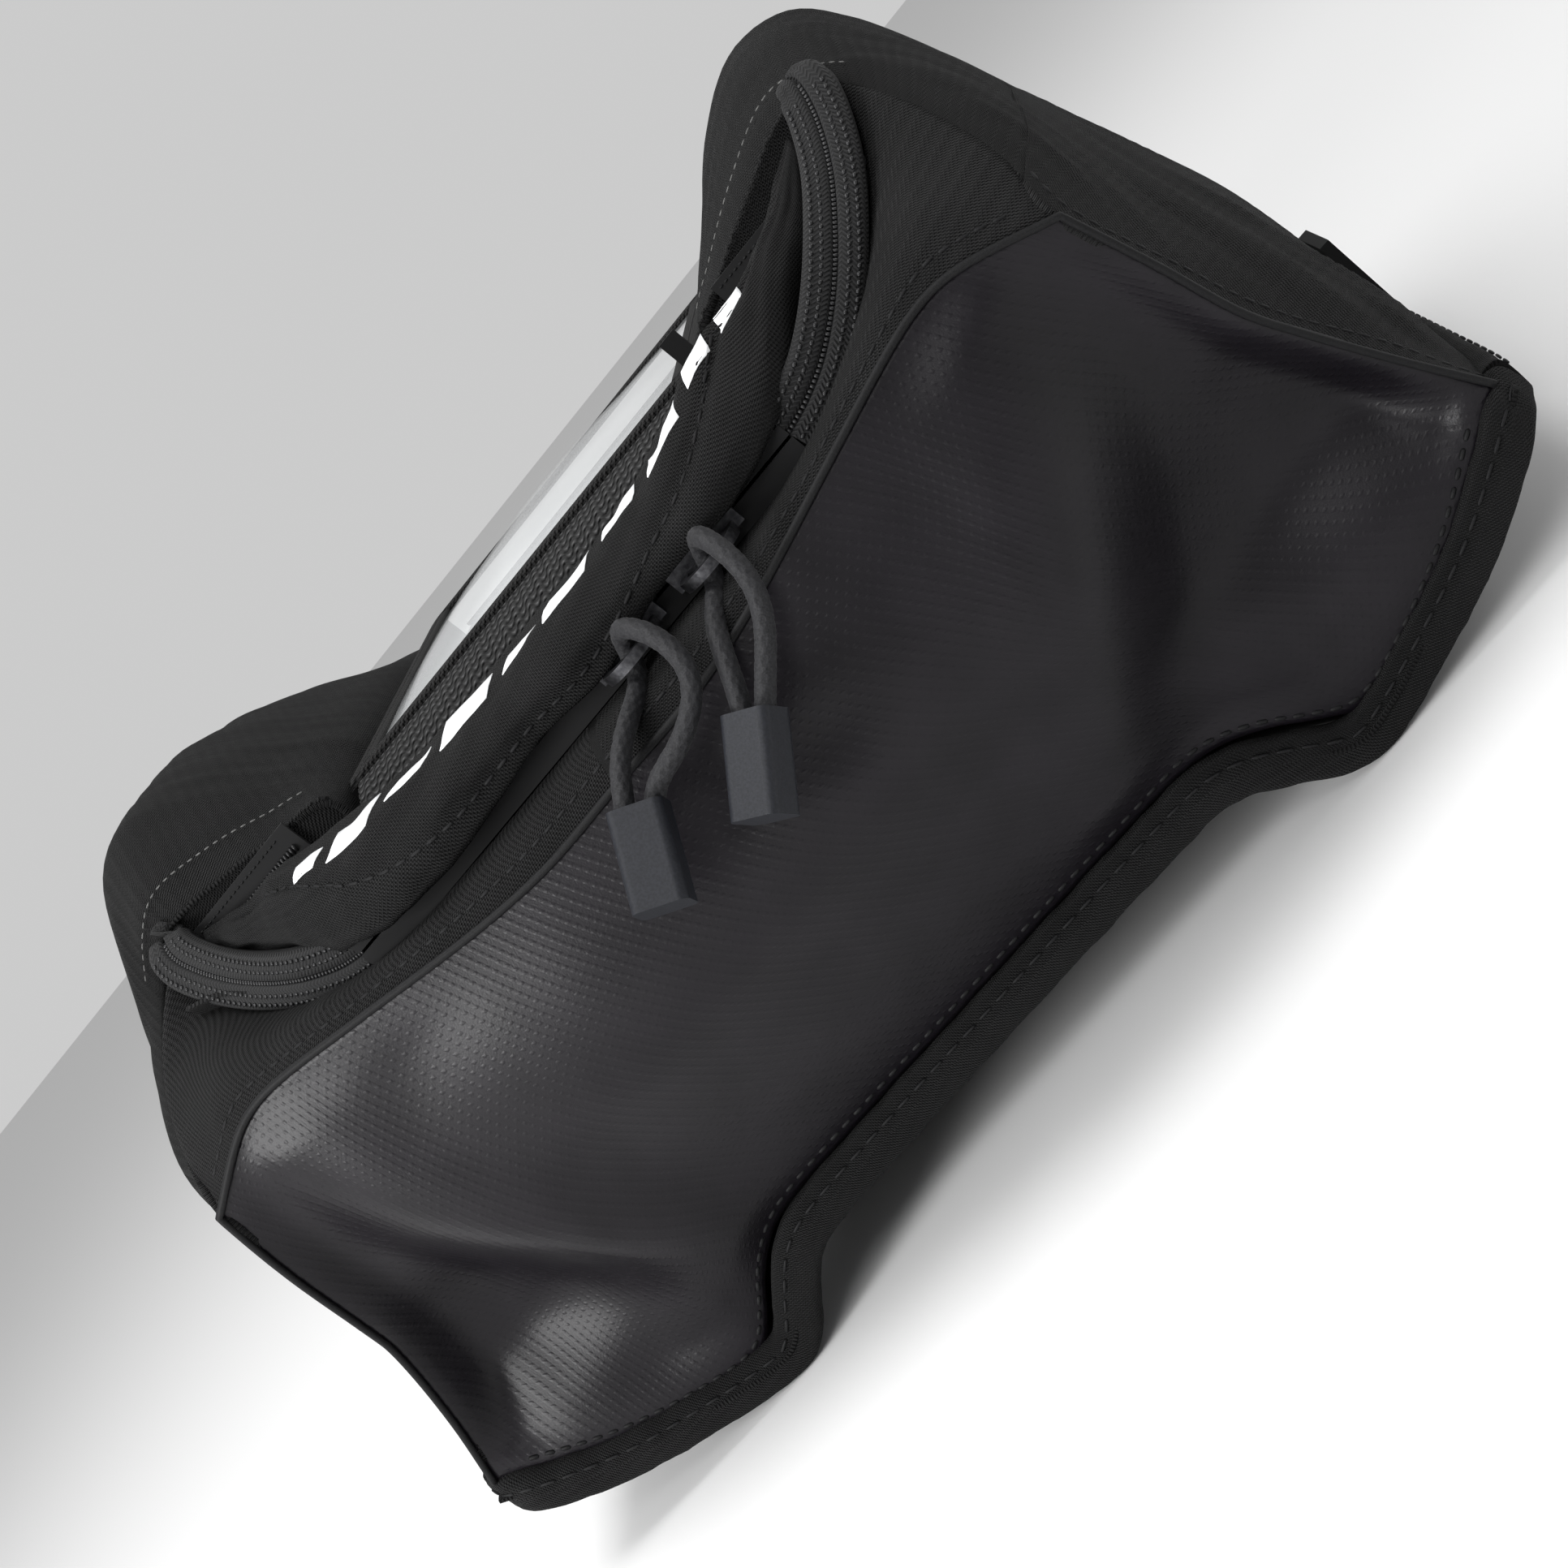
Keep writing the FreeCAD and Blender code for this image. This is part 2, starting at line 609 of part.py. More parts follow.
def hung(x, point):
    """A point measured from the middle of the bar of the bail at x."""
    reach = point[1] * outward if point[1] < 0 else point[1]
    return V(x + point[0], bar_y + reach, bar_z + point[2])


def pull(side, x, route, top, along, across):
    cord = tube([hung(x, p) for p in route], cord_d, "cord_" + side)
    body, cap = cord_end(hung(x, top), V(*along).normalize(), V(*across))
    save("pull_cord_" + side, cord)
    save("cord_end_" + side, body)
    save("cord_cap_" + side, cap)


pull("left", left_x, left_route, (-18.2, -18.2, -17.5), (-0.46, -0.52, -0.72), (0.87, -0.09, -0.49))
pull("right", right_x, right_route, (-13.3, -19.7, -22.5), (-0.62, -0.46, -0.64), (0.76, -0.55, -0.34))

# Strap tabs: webbing folded flat and sewn to each gusset just above the hem
tab_x = wall_x + strap_gap
strap = box((tab_x, strap_y, strap_height),
            (tab_x + strap_thick, strap_y + strap_width, strap_height + strap_length))
save("strap_tab_right", strap)
save("strap_tab_left", mirrored(strap))
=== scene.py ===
import bpy
import bmesh
import json
import math
from mathutils import Matrix, Vector, noise

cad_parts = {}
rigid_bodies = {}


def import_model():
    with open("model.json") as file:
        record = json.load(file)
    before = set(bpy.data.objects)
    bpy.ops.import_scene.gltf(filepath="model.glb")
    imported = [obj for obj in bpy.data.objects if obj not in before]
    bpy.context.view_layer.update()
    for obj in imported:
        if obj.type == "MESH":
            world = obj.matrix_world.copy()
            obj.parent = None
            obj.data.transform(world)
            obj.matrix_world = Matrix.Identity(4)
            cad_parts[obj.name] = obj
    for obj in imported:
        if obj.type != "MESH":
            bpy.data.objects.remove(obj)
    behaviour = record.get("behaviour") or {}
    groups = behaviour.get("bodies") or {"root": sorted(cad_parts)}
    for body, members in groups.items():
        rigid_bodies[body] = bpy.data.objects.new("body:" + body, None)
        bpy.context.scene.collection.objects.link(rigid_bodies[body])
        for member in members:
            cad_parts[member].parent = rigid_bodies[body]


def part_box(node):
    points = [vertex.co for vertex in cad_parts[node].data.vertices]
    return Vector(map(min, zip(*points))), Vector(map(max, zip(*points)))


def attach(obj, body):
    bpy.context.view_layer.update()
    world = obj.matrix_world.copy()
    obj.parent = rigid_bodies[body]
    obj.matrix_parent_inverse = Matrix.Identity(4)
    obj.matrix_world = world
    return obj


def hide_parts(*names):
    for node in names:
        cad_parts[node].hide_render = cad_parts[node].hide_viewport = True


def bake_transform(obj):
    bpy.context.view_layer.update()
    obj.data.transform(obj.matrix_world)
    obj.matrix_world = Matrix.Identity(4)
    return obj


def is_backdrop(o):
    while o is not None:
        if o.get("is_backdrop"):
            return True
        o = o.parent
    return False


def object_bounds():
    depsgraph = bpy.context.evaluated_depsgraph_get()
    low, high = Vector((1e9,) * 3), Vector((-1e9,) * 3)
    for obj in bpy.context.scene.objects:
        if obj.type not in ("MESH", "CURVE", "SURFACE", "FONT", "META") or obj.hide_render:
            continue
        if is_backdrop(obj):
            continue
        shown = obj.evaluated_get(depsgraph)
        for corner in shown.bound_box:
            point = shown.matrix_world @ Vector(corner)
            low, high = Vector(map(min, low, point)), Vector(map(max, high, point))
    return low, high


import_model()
cad_low, cad_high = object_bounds()
mm = 0.001
for item in bpy.context.scene.objects:
    item.select_set(False)


# Camera: in front of the padded panel, a little to its right and above, and rolled so that the
# bag's up leans to the left.
camera_place = Vector((0.134, -0.6026, 0.2031))
looking = Vector((-0.235, 0.951, -0.202)).normalized()
roll = math.radians(52.0)
level_right = looking.cross(Vector((0, 0, 1))).normalized()
level_up = level_right.cross(looking)
camera_up = level_up * math.cos(roll) + level_right * math.sin(roll)
camera_right = looking.cross(camera_up)
camera_turn = Matrix((camera_right, camera_up, -looking)).transposed()
bpy.ops.object.camera_add()
camera = bpy.context.object
camera.name = "camera"
camera.data.sensor_width = 36.0
camera.data.lens = 55.9
camera.data.clip_start = 0.01
camera.matrix_world = Matrix.Translation(camera_place) @ camera_turn.to_4x4()
bpy.context.scene.camera = camera


# Pull cords: two short round braided cords, each a loop from its moulded end under the bar of its
# slider's bail and back over it. The points are measured from the middle of the bar.
def finish_new(piece, body, slot, material, *nodes):
    """Puts a new piece on its body, with its material, in place of its CAD nodes. Its slot is not used."""
    piece.data.materials.append(material)
    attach(piece, body)
    if nodes:
        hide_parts(*nodes)
    piece.select_set(False)
    return piece


cord_thick = 4.4 * mm
ring_gap = 0.45 * mm
left_route = [(-21.0, -18.6, -16.8), (-16.9, -14.6, -11.6), (-12.6, -10.2, -8.4), (-8.4, -5.4, -6.6),
              (-5.0, -0.8, -5.6), (-2.8, 3.6, -4.2), (-0.6, 5.6, -0.1), (1.6, 3.8, 4.1),
              (3.8, -0.4, 5.6), (6.4, -4.8, 4.3), (8.6, -8.2, 1.0), (9.6, -11.0, -3.4),
              (9.0, -13.6, -7.9), (6.3, -15.7, -11.5), (2.0, -17.1, -14.0), (-3.0, -17.9, -15.7),
              (-8.2, -18.0, -16.5), (-12.6, -18.0, -17.4), (-16.4, -19.2, -20.0)]
right_route = [(-15.9, -18.9, -22.3), (-13.0, -15.8, -17.8), (-11.0, -12.2, -13.9), (-9.4, -8.2, -10.6),
               (-7.6, -4.2, -7.8), (-5.2, -0.6, -5.7), (-3.0, 3.6, -4.2), (-0.8, 5.6, -0.1),
               (1.4, 3.8, 4.1), (3.1, -0.4, 5.6), (4.5, -4.7, 4.6), (5.5, -8.3, 1.4),
               (5.7, -10.9, -3.0), (4.7, -13.1, -7.6), (2.3, -15.3, -11.8), (-1.3, -17.3, -15.5),
               (-5.3, -18.9, -18.7), (-8.9, -20.3, -21.6), (-12.2, -21.8, -24.4)]


def bail_bar(side):
    """The middle of the round bar at the front of a bail."""
    low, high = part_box("bail_" + side)
    return Vector(((low[0] + high[0]) / 2, low[1] + 1.2 * mm, (low[2] + high[2]) / 2))


def cord_line(name, points):
    """A smooth line through a cord's route, as a curve."""
    data = bpy.data.curves.new(name, "CURVE")
    data.dimensions = "3D"
    spline = data.splines.new("NURBS")
    spline.points.add(len(points) - 1)
    for knot, place in zip(spline.points, points):
        knot.co = (*place, 1.0)
    spline.order_u = 3
    spline.use_endpoint_u = True
    spline.resolution_u = 10
    line = bpy.data.objects.new(name, data)
    bpy.context.collection.objects.link(line)
    return line


def run_along(places):
    """How far along a line each of its places is."""
    run = [0.0]
    for a, b in zip(places, places[1:]):
        run.append(run[-1] + (b - a).length)
    return run


def evenly(raw, count):
    """Evenly spaced places along a line of places that are close together."""
    run = run_along(raw)
    places = []
    i = 0
    for step in range(count + 1):
        want = run[-1] * step / count
        while i < len(raw) - 2 and run[i + 1] < want:
            i += 1
        part = (want - run[i]) / max(run[i + 1] - run[i], 1e-9)
        places.append(raw[i].lerp(raw[i + 1], min(max(part, 0), 1)))
    return places


def line_points(line, spacing):
    """Evenly spaced places along a curve with no bevel, and the curve's length."""
    made = bpy.data.meshes.new_from_object(line)
    raw = [v.co.copy() for v in made.vertices]
    bpy.data.meshes.remove(made)
    long = run_along(raw)[-1]
    return evenly(raw, max(2, round(long / spacing))), long


def ribbon_frames(places):
    """A direction, a side and an upward direction at each place along a line, without twist."""
    ways = []
    count = len(places)
    for i in range(count):
        ways.append((places[min(i + 1, count - 1)] - places[max(i - 1, 0)]).normalized())
    side = ways[0].orthogonal().normalized()
    frames = []
    for way in ways:
        side = (side - way * side.dot(way)).normalized()
        frames.append((way, side, way.cross(side)))
    return frames


def ring_faces(rings, around, base=0, closed_ends=True):
    """The faces of a tube of rings, numbered from a base."""
    faces = []
    for i in range(rings - 1):
        for k in range(around):
            a = base + i * around + k
            b = base + i * around + (k + 1) % around
            faces.append((a, b, b + around, a + around))
    if closed_ends:
        faces.append(tuple(base + k for k in reversed(range(around))))
        faces.append(tuple(base + (rings - 1) * around + k for k in range(around)))
    return faces


def built(name, verts, faces, smooth=True):
    """A new object from places and faces."""
    data = bpy.data.meshes.new(name)
    data.from_pydata(verts, [], faces)
    for face in data.polygons:
        face.use_smooth = smooth
    piece = bpy.data.objects.new(name, data)
    bpy.context.collection.objects.link(piece)
    return piece


def braided_cord(name, places, thick):
    """A tube whose surface stands up in crossing strands, like a 16-strand braid."""
    around = 28
    strands = 8
    pitch = 7.5 * mm
    hollow, stand = 0.93, 0.075
    run = 0.0
    verts = []
    for i, (place, (way, side, lift)) in enumerate(zip(places, ribbon_frames(places))):
        if i:
            run += (place - places[i - 1]).length
        for k in range(around):
            turn = 2 * math.pi * k / around
            along = 2 * math.pi * run / pitch
            right_hand = math.cos(strands * turn + along * 2)
            left_hand = math.cos(strands * turn - along * 2)
            knit = max(right_hand, left_hand)
            radius = thick / 2 * (hollow + stand * knit)
            verts.append(place + (side * math.cos(turn) + lift * math.sin(turn)) * radius)
    return built(name, verts, ring_faces(len(places), around))


def noise_bump(tree, shader, scale, detail, strength, distance):
    """Fine irregular roughness on a material, and the pattern that it is made from."""
    place = tree.nodes.new("ShaderNodeTexCoord")
    cloud = tree.nodes.new("ShaderNodeTexNoise")
    cloud.inputs["Scale"].default_value = scale
    cloud.inputs["Detail"].default_value = detail
    bump = tree.nodes.new("ShaderNodeBump")
    bump.inputs["Strength"].default_value = strength
    bump.inputs["Distance"].default_value = distance
    tree.links.new(place.outputs["Object"], cloud.inputs["Vector"])
    tree.links.new(cloud.outputs["Fac"], bump.inputs["Height"])
    tree.links.new(bump.outputs["Normal"], shader.inputs["Normal"])
    return cloud.outputs["Fac"]


def new_material(name, colour, rough, specular=None, sheen=None):
    """A material with one shader, and the tree that it is made in."""
    made = bpy.data.materials.new(name)
    made.use_nodes = True
    shader = made.node_tree.nodes["Principled BSDF"]
    shader.inputs["Base Color"].default_value = (*colour, 1)
    shader.inputs["Roughness"].default_value = rough
    if specular is not None:
        shader.inputs["Specular IOR Level"].default_value = specular
    if sheen is not None:
        shader.inputs["Sheen Weight"].default_value = sheen
    return made, made.node_tree, shader


def varied_colour(tree, shader, source, low, high, spread=(0.35, 0.65)):
    """The colour drifts between two close tones."""
    ramp = tree.nodes.new("ShaderNodeValToRGB")
    ramp.color_ramp.elements[0].color = (*low, 1)
    ramp.color_ramp.elements[1].color = (*high, 1)
    ramp.color_ramp.elements[0].position = spread[0]
    ramp.color_ramp.elements[1].position = spread[1]
    tree.links.new(source, ramp.inputs["Fac"])
    tree.links.new(ramp.outputs["Color"], shader.inputs["Base Color"])


def grained(name, colour, rough, grain, low, high, specular=None, sheen=None):
    """A material whose fine roughness and two close tones come from one irregular pattern."""
    made, tree, shader = new_material(name, colour, rough, specular, sheen)
    varied_colour(tree, shader, noise_bump(tree, shader, *grain), low, high)
    return made, shader


cord_yarn, shader = grained("cord_yarn", (0.008, 0.008, 0.009), 0.62, (2600, 3, 0.5, 0.0002),
                            (0.005, 0.005, 0.006), (0.016, 0.016, 0.018), 0.25, 0.05)
shader.inputs["Sheen Roughness"].default_value = 0.4

for side, route in (("left", left_route), ("right", right_route)):
    bar = bail_bar(side)
    line = cord_line("cord_line_" + side, [bar + Vector(p) * mm for p in route])
    places, cord_long = line_points(line, ring_gap)
    cord = braided_cord("pull_cord_" + side + "_braid", places, cord_thick)
    finish_new(cord, side + "_pull", "cord", cord_yarn, "pull_cord_" + side)
    bpy.data.objects.remove(line)


# Front panel: embossed vinyl over foam, one piece between the woven band and the hem. It bulges
# in the middle, and a soft ridge runs from each shoulder to the end of the saddle's arch.
def smooth_through(knots, count):
    """Evenly spaced places on a smooth line through the knots."""
    knots = [Vector(k) for k in knots]
    last = len(knots) - 1
    run = run_along(knots)
    places = []
    i = 0
    for step in range(count + 1):
        want = run[-1] * step / count
        while i < last - 1 and run[i + 1] < want:
            i += 1
        t = (want - run[i]) / (run[i + 1] - run[i])
        a, b = knots[i], knots[i + 1]
        span = run[i + 1] - run[i]
        if i > 0:
            start = (b - knots[i - 1]) * (span / (run[i + 1] - run[i - 1]))
        else:
            start = b - a
        if i < last - 1:
            stop = (knots[i + 2] - a) * (span / (run[i + 2] - run[i]))
        else:
            stop = b - a
        h = t * t
        g = h * t
        places.append(a * (2 * g - 3 * h + 1) + start * (g - 2 * h + t)
                      + b * (3 * h - 2 * g) + stop * (g - h))
    return places


def both_ways(half):
    """The right half of a line, from the middle outwards, as the whole line from left to right."""
    left = [(-x, y, z) for x, y, z in reversed(half) if x > 0]
    return left + list(half)


def sewn_patch(top, bottom, left, right):
    """A sheet of places stretched between four edges, in rows from the top to the bottom."""
    rows = []
    across = len(top) - 1
    down = len(left) - 1
    for j in range(down + 1):
        v = j / down
        row = []
        for i in range(across + 1):
            u = i / across
            flat = ((top[0] * (1 - u) + top[across] * u) * (1 - v)
                    + (bottom[0] * (1 - u) + bottom[across] * u) * v)
            row.append(top[i] * (1 - v) + bottom[i] * v + left[j] * (1 - u) + right[j] * u - flat)
        rows.append(row)
    return rows


def sheet_mesh(name, rows):
    """A sheet as a grid primitive moved to its places, with a UV map in metres along its surface."""
    down = len(rows) - 1
    across = len(rows[0]) - 1
    bpy.ops.mesh.primitive_grid_add(x_subdivisions=across, y_subdivisions=down, size=2)
    sheet = bpy.context.object
    sheet.name = name
    sheet.data.name = name
    data = sheet.data
    count = len(data.vertices)
    at = [None] * count
    for v in data.vertices:
        i = round((v.co.x + 1) / 2 * across)
        j = round((1 - v.co.y) / 2 * down)
        at[v.index] = (i, j)
    width = [0.0] * (across + 1)
    height = [0.0] * (down + 1)
    middle_row = rows[down // 2]
    middle = across // 2
    for i in range(1, across + 1):
        width[i] = width[i - 1] + (middle_row[i] - middle_row[i - 1]).length
    for j in range(1, down + 1):
        height[j] = height[j - 1] + (rows[j][middle] - rows[j - 1][middle]).length
    for v in data.vertices:
        i, j = at[v.index]
        v.co = rows[j][i] * mm
    uv = data.uv_layers[0].data if data.uv_layers else data.uv_layers.new(name="UVMap").data
    for loop in data.loops:
        i, j = at[loop.vertex_index]
        uv[loop.index].uv = ((width[i] - width[middle]) * mm, -height[j] * mm)
    for face in data.polygons:
        face.use_smooth = True
    data.update()
    sheet.select_set(False)
    return sheet


def bump_at(x, z, knots, wide):
    """How near a place on the front is to a line of (x, z) knots, from 0 to 1."""
    near = 1e9
    for (ax, az), (bx, bz) in zip(knots, knots[1:]):
        dx, dz = bx - ax, bz - az
        t = ((x - ax) * dx + (z - az) * dz) / (dx * dx + dz * dz)
        t = min(max(t, 0.0), 1.0)
        near = min(near, math.hypot(x - ax - t * dx, z - az - t * dz))
    return math.exp(-(near / wide) ** 2)


vinyl_top = both_ways([(0, -139, 130.5), (24, -139, 130.5), (45, -137.5, 133), (78, -134, 139.5),
                       (100, -130.5, 143.5), (111, -128.5, 144), (120, -128, 142), (138, -127, 134)])
vinyl_side = [(138, -127, 134), (143, -120, 112), (147, -114, 92), (152, -108, 78), (161, -102.5, 57),
              (170, -99.5, 38)]
vinyl_bottom = both_ways([(0, -101, 32), (40, -101, 32), (66, -101, 31.5), (76, -100, 29), (86, -99, 23),
                          (95, -98, 15), (103, -98, 10), (116, -99, 12), (141, -100, 21.5),
                          (170, -99.5, 38)])
across_cells = 150
down_cells = 70
belly = 20.5                  # the middle of the panel stands out this far
ridge_rise, ridge_wide = 3.6, 15.0
inner_dip, inner_wide = 1.2, 16.0
outer_dip, outer_wide = 6.6, 22.0
wing_dip, wing_middle = 12.5, 60
ridge_right = [(112, 134), (97, 108), (80, 82), (64, 58), (54, 44)]
ridge_left = [(116, 134), (110, 108), (101, 82), (88, 56), (78, 38)]
inner_right = [(74, 118), (60, 88), (40, 62)]
inner_left = [(80, 118), (74, 84), (62, 56)]
outer_right = [(136, 118), (129, 90), (116, 62), (104, 40)]
outer_left = [(142, 118), (136, 90), (126, 62), (114, 38)]
pull_dents = ((5, 112), (34, 104))
dent_deep = 2.2


def eased(share):
    """A share from 0 to 1 that starts and stops gently."""
    return share * share * (3 - 2 * share)


def front_bulge(x, z, u, v):
    """How far the panel stands out in front of the sheet stretched between its edges."""
    edge = eased(min(1.0, 9 * min(v, 1 - v)) * min(1.0, 12 * min(u, 1 - u)))
    out = belly * math.sin(math.pi * v ** 0.92) ** 1.15 * max(0.0, 1 - (abs(x) / 150) ** 2.6)
    out += ridge_rise * bump_at(abs(x), z, ridge_left if x < 0 else ridge_right, ridge_wide) * edge
    out -= inner_dip * bump_at(abs(x), z, inner_right if x > 0 else inner_left, inner_wide) * edge
    out -= outer_dip * bump_at(abs(x), z, outer_left if x < 0 else outer_right, outer_wide) * edge
    ridge_x = 54 + (z - 44) * 0.64 if x > 0 else 76 + (z - 44) * 0.42
    wing = eased(min(1.0, max(0.0, (abs(x) - ridge_x - 4) / 34)))
    held = eased(min(1.0, 14 * min(v, 1 - v)) * min(1.0, 26 * min(u, 1 - u)))
    reach = 48 if z > wing_middle else 19
    out -= wing_dip * wing * math.exp(-((z - wing_middle) / reach) ** 2) * held
    for dent_x, dent_z in pull_dents:
        out -= dent_deep * math.exp(-((x - dent_x) ** 2 + (z - dent_z) ** 2) / 90)
    out += 0.5 * noise.noise(Vector((x / 26, z / 22, 3.0))) * edge
    return out


top = smooth_through(vinyl_top, across_cells)
bottom = smooth_through(vinyl_bottom, across_cells)
right = smooth_through(vinyl_side, down_cells)
left = [Vector((-p.x, p.y, p.z)) for p in right]
panel_rows = sewn_patch(top, bottom, left, right)
for j, row in enumerate(panel_rows):
    for i, p in enumerate(row):
        p.y -= front_bulge(p.x, p.z, i / across_cells, j / down_cells)


def thicken(piece, depth):
    """Gives a sheet its thickness on the inside."""
    solid = piece.modifiers.new("thickness", "SOLIDIFY")
    solid.thickness = depth
    solid.offset = -1
    bpy.context.view_layer.objects.active = piece
    piece.select_set(True)
    bpy.ops.object.modifier_apply(modifier=solid.name)
    piece.select_set(False)


def facing(piece, way):
    """Turns a sheet's faces so that they mostly face a given way."""
    total = sum(f.normal.dot(Vector(way)) * f.area for f in piece.data.polygons)
    if total < 0:
        piece.data.flip_normals()


def cloth_piece(name, rows, way, depth, body, slot, material, *nodes):
    """A sheet that faces one way and has its thickness on the inside, as a finished piece."""
    piece = sheet_mesh(name, rows)
    facing(piece, way)
    thicken(piece, depth * mm)
    return finish_new(piece, body, slot, material, *nodes)


def calculated(tree, operation, *values):
    """One sum on a material's pattern, with links or plain numbers."""
    made = tree.nodes.new("ShaderNodeMath")
    made.operation = operation
    for place, value in zip(made.inputs, values):
        if isinstance(value, (int, float)):
            place.default_value = value
        else:
            tree.links.new(value, place)
    return made.outputs[0]


def plus(tree, first, second):
    """Two patterns added."""
    return calculated(tree, "ADD", first, second)


def times(tree, first, second):
    """Two patterns multiplied."""
    return calculated(tree, "MULTIPLY", first, second)


def waves(tree, value, pitch):
    """A wave from -1 to 1 along a value, of a pitch in its own units."""
    return calculated(tree, "SINE", times(tree, value, 2 * math.pi / pitch))


def drifting(tree, spot, scale, detail):
    """An irregular pattern over places on a surface."""
    cloud = tree.nodes.new("ShaderNodeTexNoise")
    cloud.inputs["Scale"].default_value = scale
    cloud.inputs["Detail"].default_value = detail
    tree.links.new(spot, cloud.inputs["Vector"])
    return cloud.outputs["Fac"]


def surface_place(tree, turn=0.0):
    """Places along the cloth in millimetres, turned for a pattern."""
    spot = tree.nodes.new("ShaderNodeTexCoord")
    mapping = tree.nodes.new("ShaderNodeMapping")
    mapping.inputs["Rotation"].default_value = (0, 0, turn)
    mapping.inputs["Scale"].default_value = (1 / mm, 1 / mm, 1 / mm)
    tree.links.new(spot.outputs["UV"], mapping.inputs["Vector"])
    parts = tree.nodes.new("ShaderNodeSeparateXYZ")
    tree.links.new(mapping.outputs["Vector"], parts.inputs["Vector"])
    return parts.outputs["X"], parts.outputs["Y"], mapping.outputs["Vector"]


def bumped(tree, shader, height, strength, distance):
    """Makes a pattern stand up from a material's surface."""
    bump = tree.nodes.new("ShaderNodeBump")
    bump.inputs["Strength"].default_value = strength
    bump.inputs["Distance"].default_value = distance
    tree.links.new(height, bump.inputs["Height"])
    tree.links.new(bump.outputs["Normal"], shader.inputs["Normal"])


# The vinyl is embossed with slanting rows of short raised dashes, 2.5 mm apart, over a fine grain.
dash_rows = 2.5
dash_pitch = 1.9
vinyl, tree, shader = new_material("embossed_vinyl", (0.010, 0.009, 0.011), 0.38, specular=0.20)
across, along, spot = surface_place(tree, math.radians(-28))
row_index = calculated(tree, "FLOOR", calculated(tree, "DIVIDE", across, dash_rows))
slant = plus(tree, times(tree, along, 2 * math.pi / dash_pitch),
             plus(tree, times(tree, row_index, 2.1), times(tree, across, 1.7)))
dash = calculated(tree, "MAXIMUM", calculated(tree, "SINE", slant), 0.0)
row_crest = calculated(tree, "MAXIMUM", waves(tree, across, dash_rows), 0.0)
raised = times(tree, row_crest, plus(tree, times(tree, dash, 0.75), 0.30))
grain = drifting(tree, spot, 2.2, 4)
bumped(tree, shader, plus(tree, raised, times(tree, grain, 0.7)), 0.32, 0.00020)
varied_colour(tree, shader, drifting(tree, spot, 0.045, 3), (0.0034, 0.0027, 0.0040),
              (0.0062, 0.0052, 0.0070))
rough = tree.nodes.new("ShaderNodeMapRange")
rough.inputs["To Min"].default_value = 0.33
rough.inputs["To Max"].default_value = 0.43
tree.links.new(grain, rough.inputs["Value"])
tree.links.new(rough.outputs["Result"], shader.inputs["Roughness"])
panel = cloth_piece("front_panel_vinyl", panel_rows, (0, -1, 0), 2.0, "bag", "panel_vinyl", vinyl,
                    "front_panel")

# Foam pad: an open grey foam sheet laid inside the vinyl, a little smaller than the panel.
foam_grain, shader = grained("grey_foam", (0.10, 0.10, 0.105), 0.95, (900, 4, 0.7, 0.0006),
                             (0.07, 0.07, 0.075), (0.14, 0.14, 0.145))
foam_rows = [[p + Vector((0, 2.6, 0)) for p in row[3:-3:3]] for row in panel_rows[2:-2:3]]
foam = cloth_piece("front_foam_pad", foam_rows, (0, -1, 0), 4.4, "bag", "foam", foam_grain, "front_foam")


def woven_material(name, dark, light, pitch, rough=0.78):
    """Plain-woven synthetic cloth: two crossing sets of yarns, with a little uneven colour, and painted shade
    and highlight that follow the yarns.
    """
    cloth, tree, shader = new_material(name, dark, rough, specular=0.09, sheen=0.03)
    warp, weft, spot = surface_place(tree)
    over = waves(tree, warp, pitch)
    under = waves(tree, weft, pitch * 0.82)
    knot = calculated(tree, "ABSOLUTE", times(tree, over, under))
    rib = times(tree, waves(tree, plus(tree, warp, weft), pitch * 0.95), 0.5)
    fuzz = drifting(tree, spot, 1.6, 5)
    bumped(tree, shader, plus(tree, plus(tree, knot, rib), times(tree, fuzz, 0.5)), 0.9, 0.00055)
    # Painted shade and highlight: the colour is lighter on the raised yarn knots and twill ribs and darker in
    # the hollows between them, over a random uneven tone.
    weave_tone_and_painted_shade = plus(tree, times(tree, drifting(tree, spot, 0.05, 4), 0.5),
                plus(tree, times(tree, knot, 0.25), times(tree, rib, 0.35)))
    varied_colour(tree, shader, weave_tone_and_painted_shade, dark, light, (0.2, 0.75))
    shader.inputs["Sheen Roughness"].default_value = 0.45
    return cloth


# In each cloth the lighter tone is painted highlight on the yarn crests, and the darker tone is painted shade
# in the hollows.
bag_cloth = woven_material("black_woven_cloth", (0.0024, 0.0024, 0.0025), (0.0140, 0.0140, 0.0143), 1.25)
hem_cloth = woven_material("hem_binding_cloth", (0.0024, 0.0024, 0.0025), (0.0130, 0.0130, 0.0133), 1.0)
webbing = woven_material("black_webbing", (0.005, 0.005, 0.0052), (0.016, 0.0155, 0.015), 1.8, rough=0.7)
cloth_depth = 1.8


# Front band: woven fabric between the vinyl and the main zip. It widens at both ends, where it is
# drawn up over the corner panels to the top of each pod.
band_zip_right = [(0, -120.2, 140), (40, -120.2, 140), (62, -119.6, 140.6), (78, -116, 143.5),
                  (92, -110, 148), (104, -103, 153), (116, -92, 161), (125, -81, 171), (129, -72, 181)]
band_zip_left = [(0, -120.2, 140), (40, -120.2, 140), (62, -118.6, 140.6), (78, -112, 142.5),
                 (92, -103, 145.5), (104, -93, 150), (116, -82, 157), (124, -73, 164), (128, -66, 172)]
band_edge_right = [(138, -127, 134), (139.5, -114, 148), (137.5, -98, 161), (134, -84, 172), (129, -72, 181)]
band_edge_left = [(138, -127, 134), (139, -112, 147), (137, -96, 158), (133, -80, 166), (128, -66, 172)]
band_cells = 30


def on_left(points):
    """The same line on the other side of the bag."""
    return [(-x, y, z) for x, y, z in points]


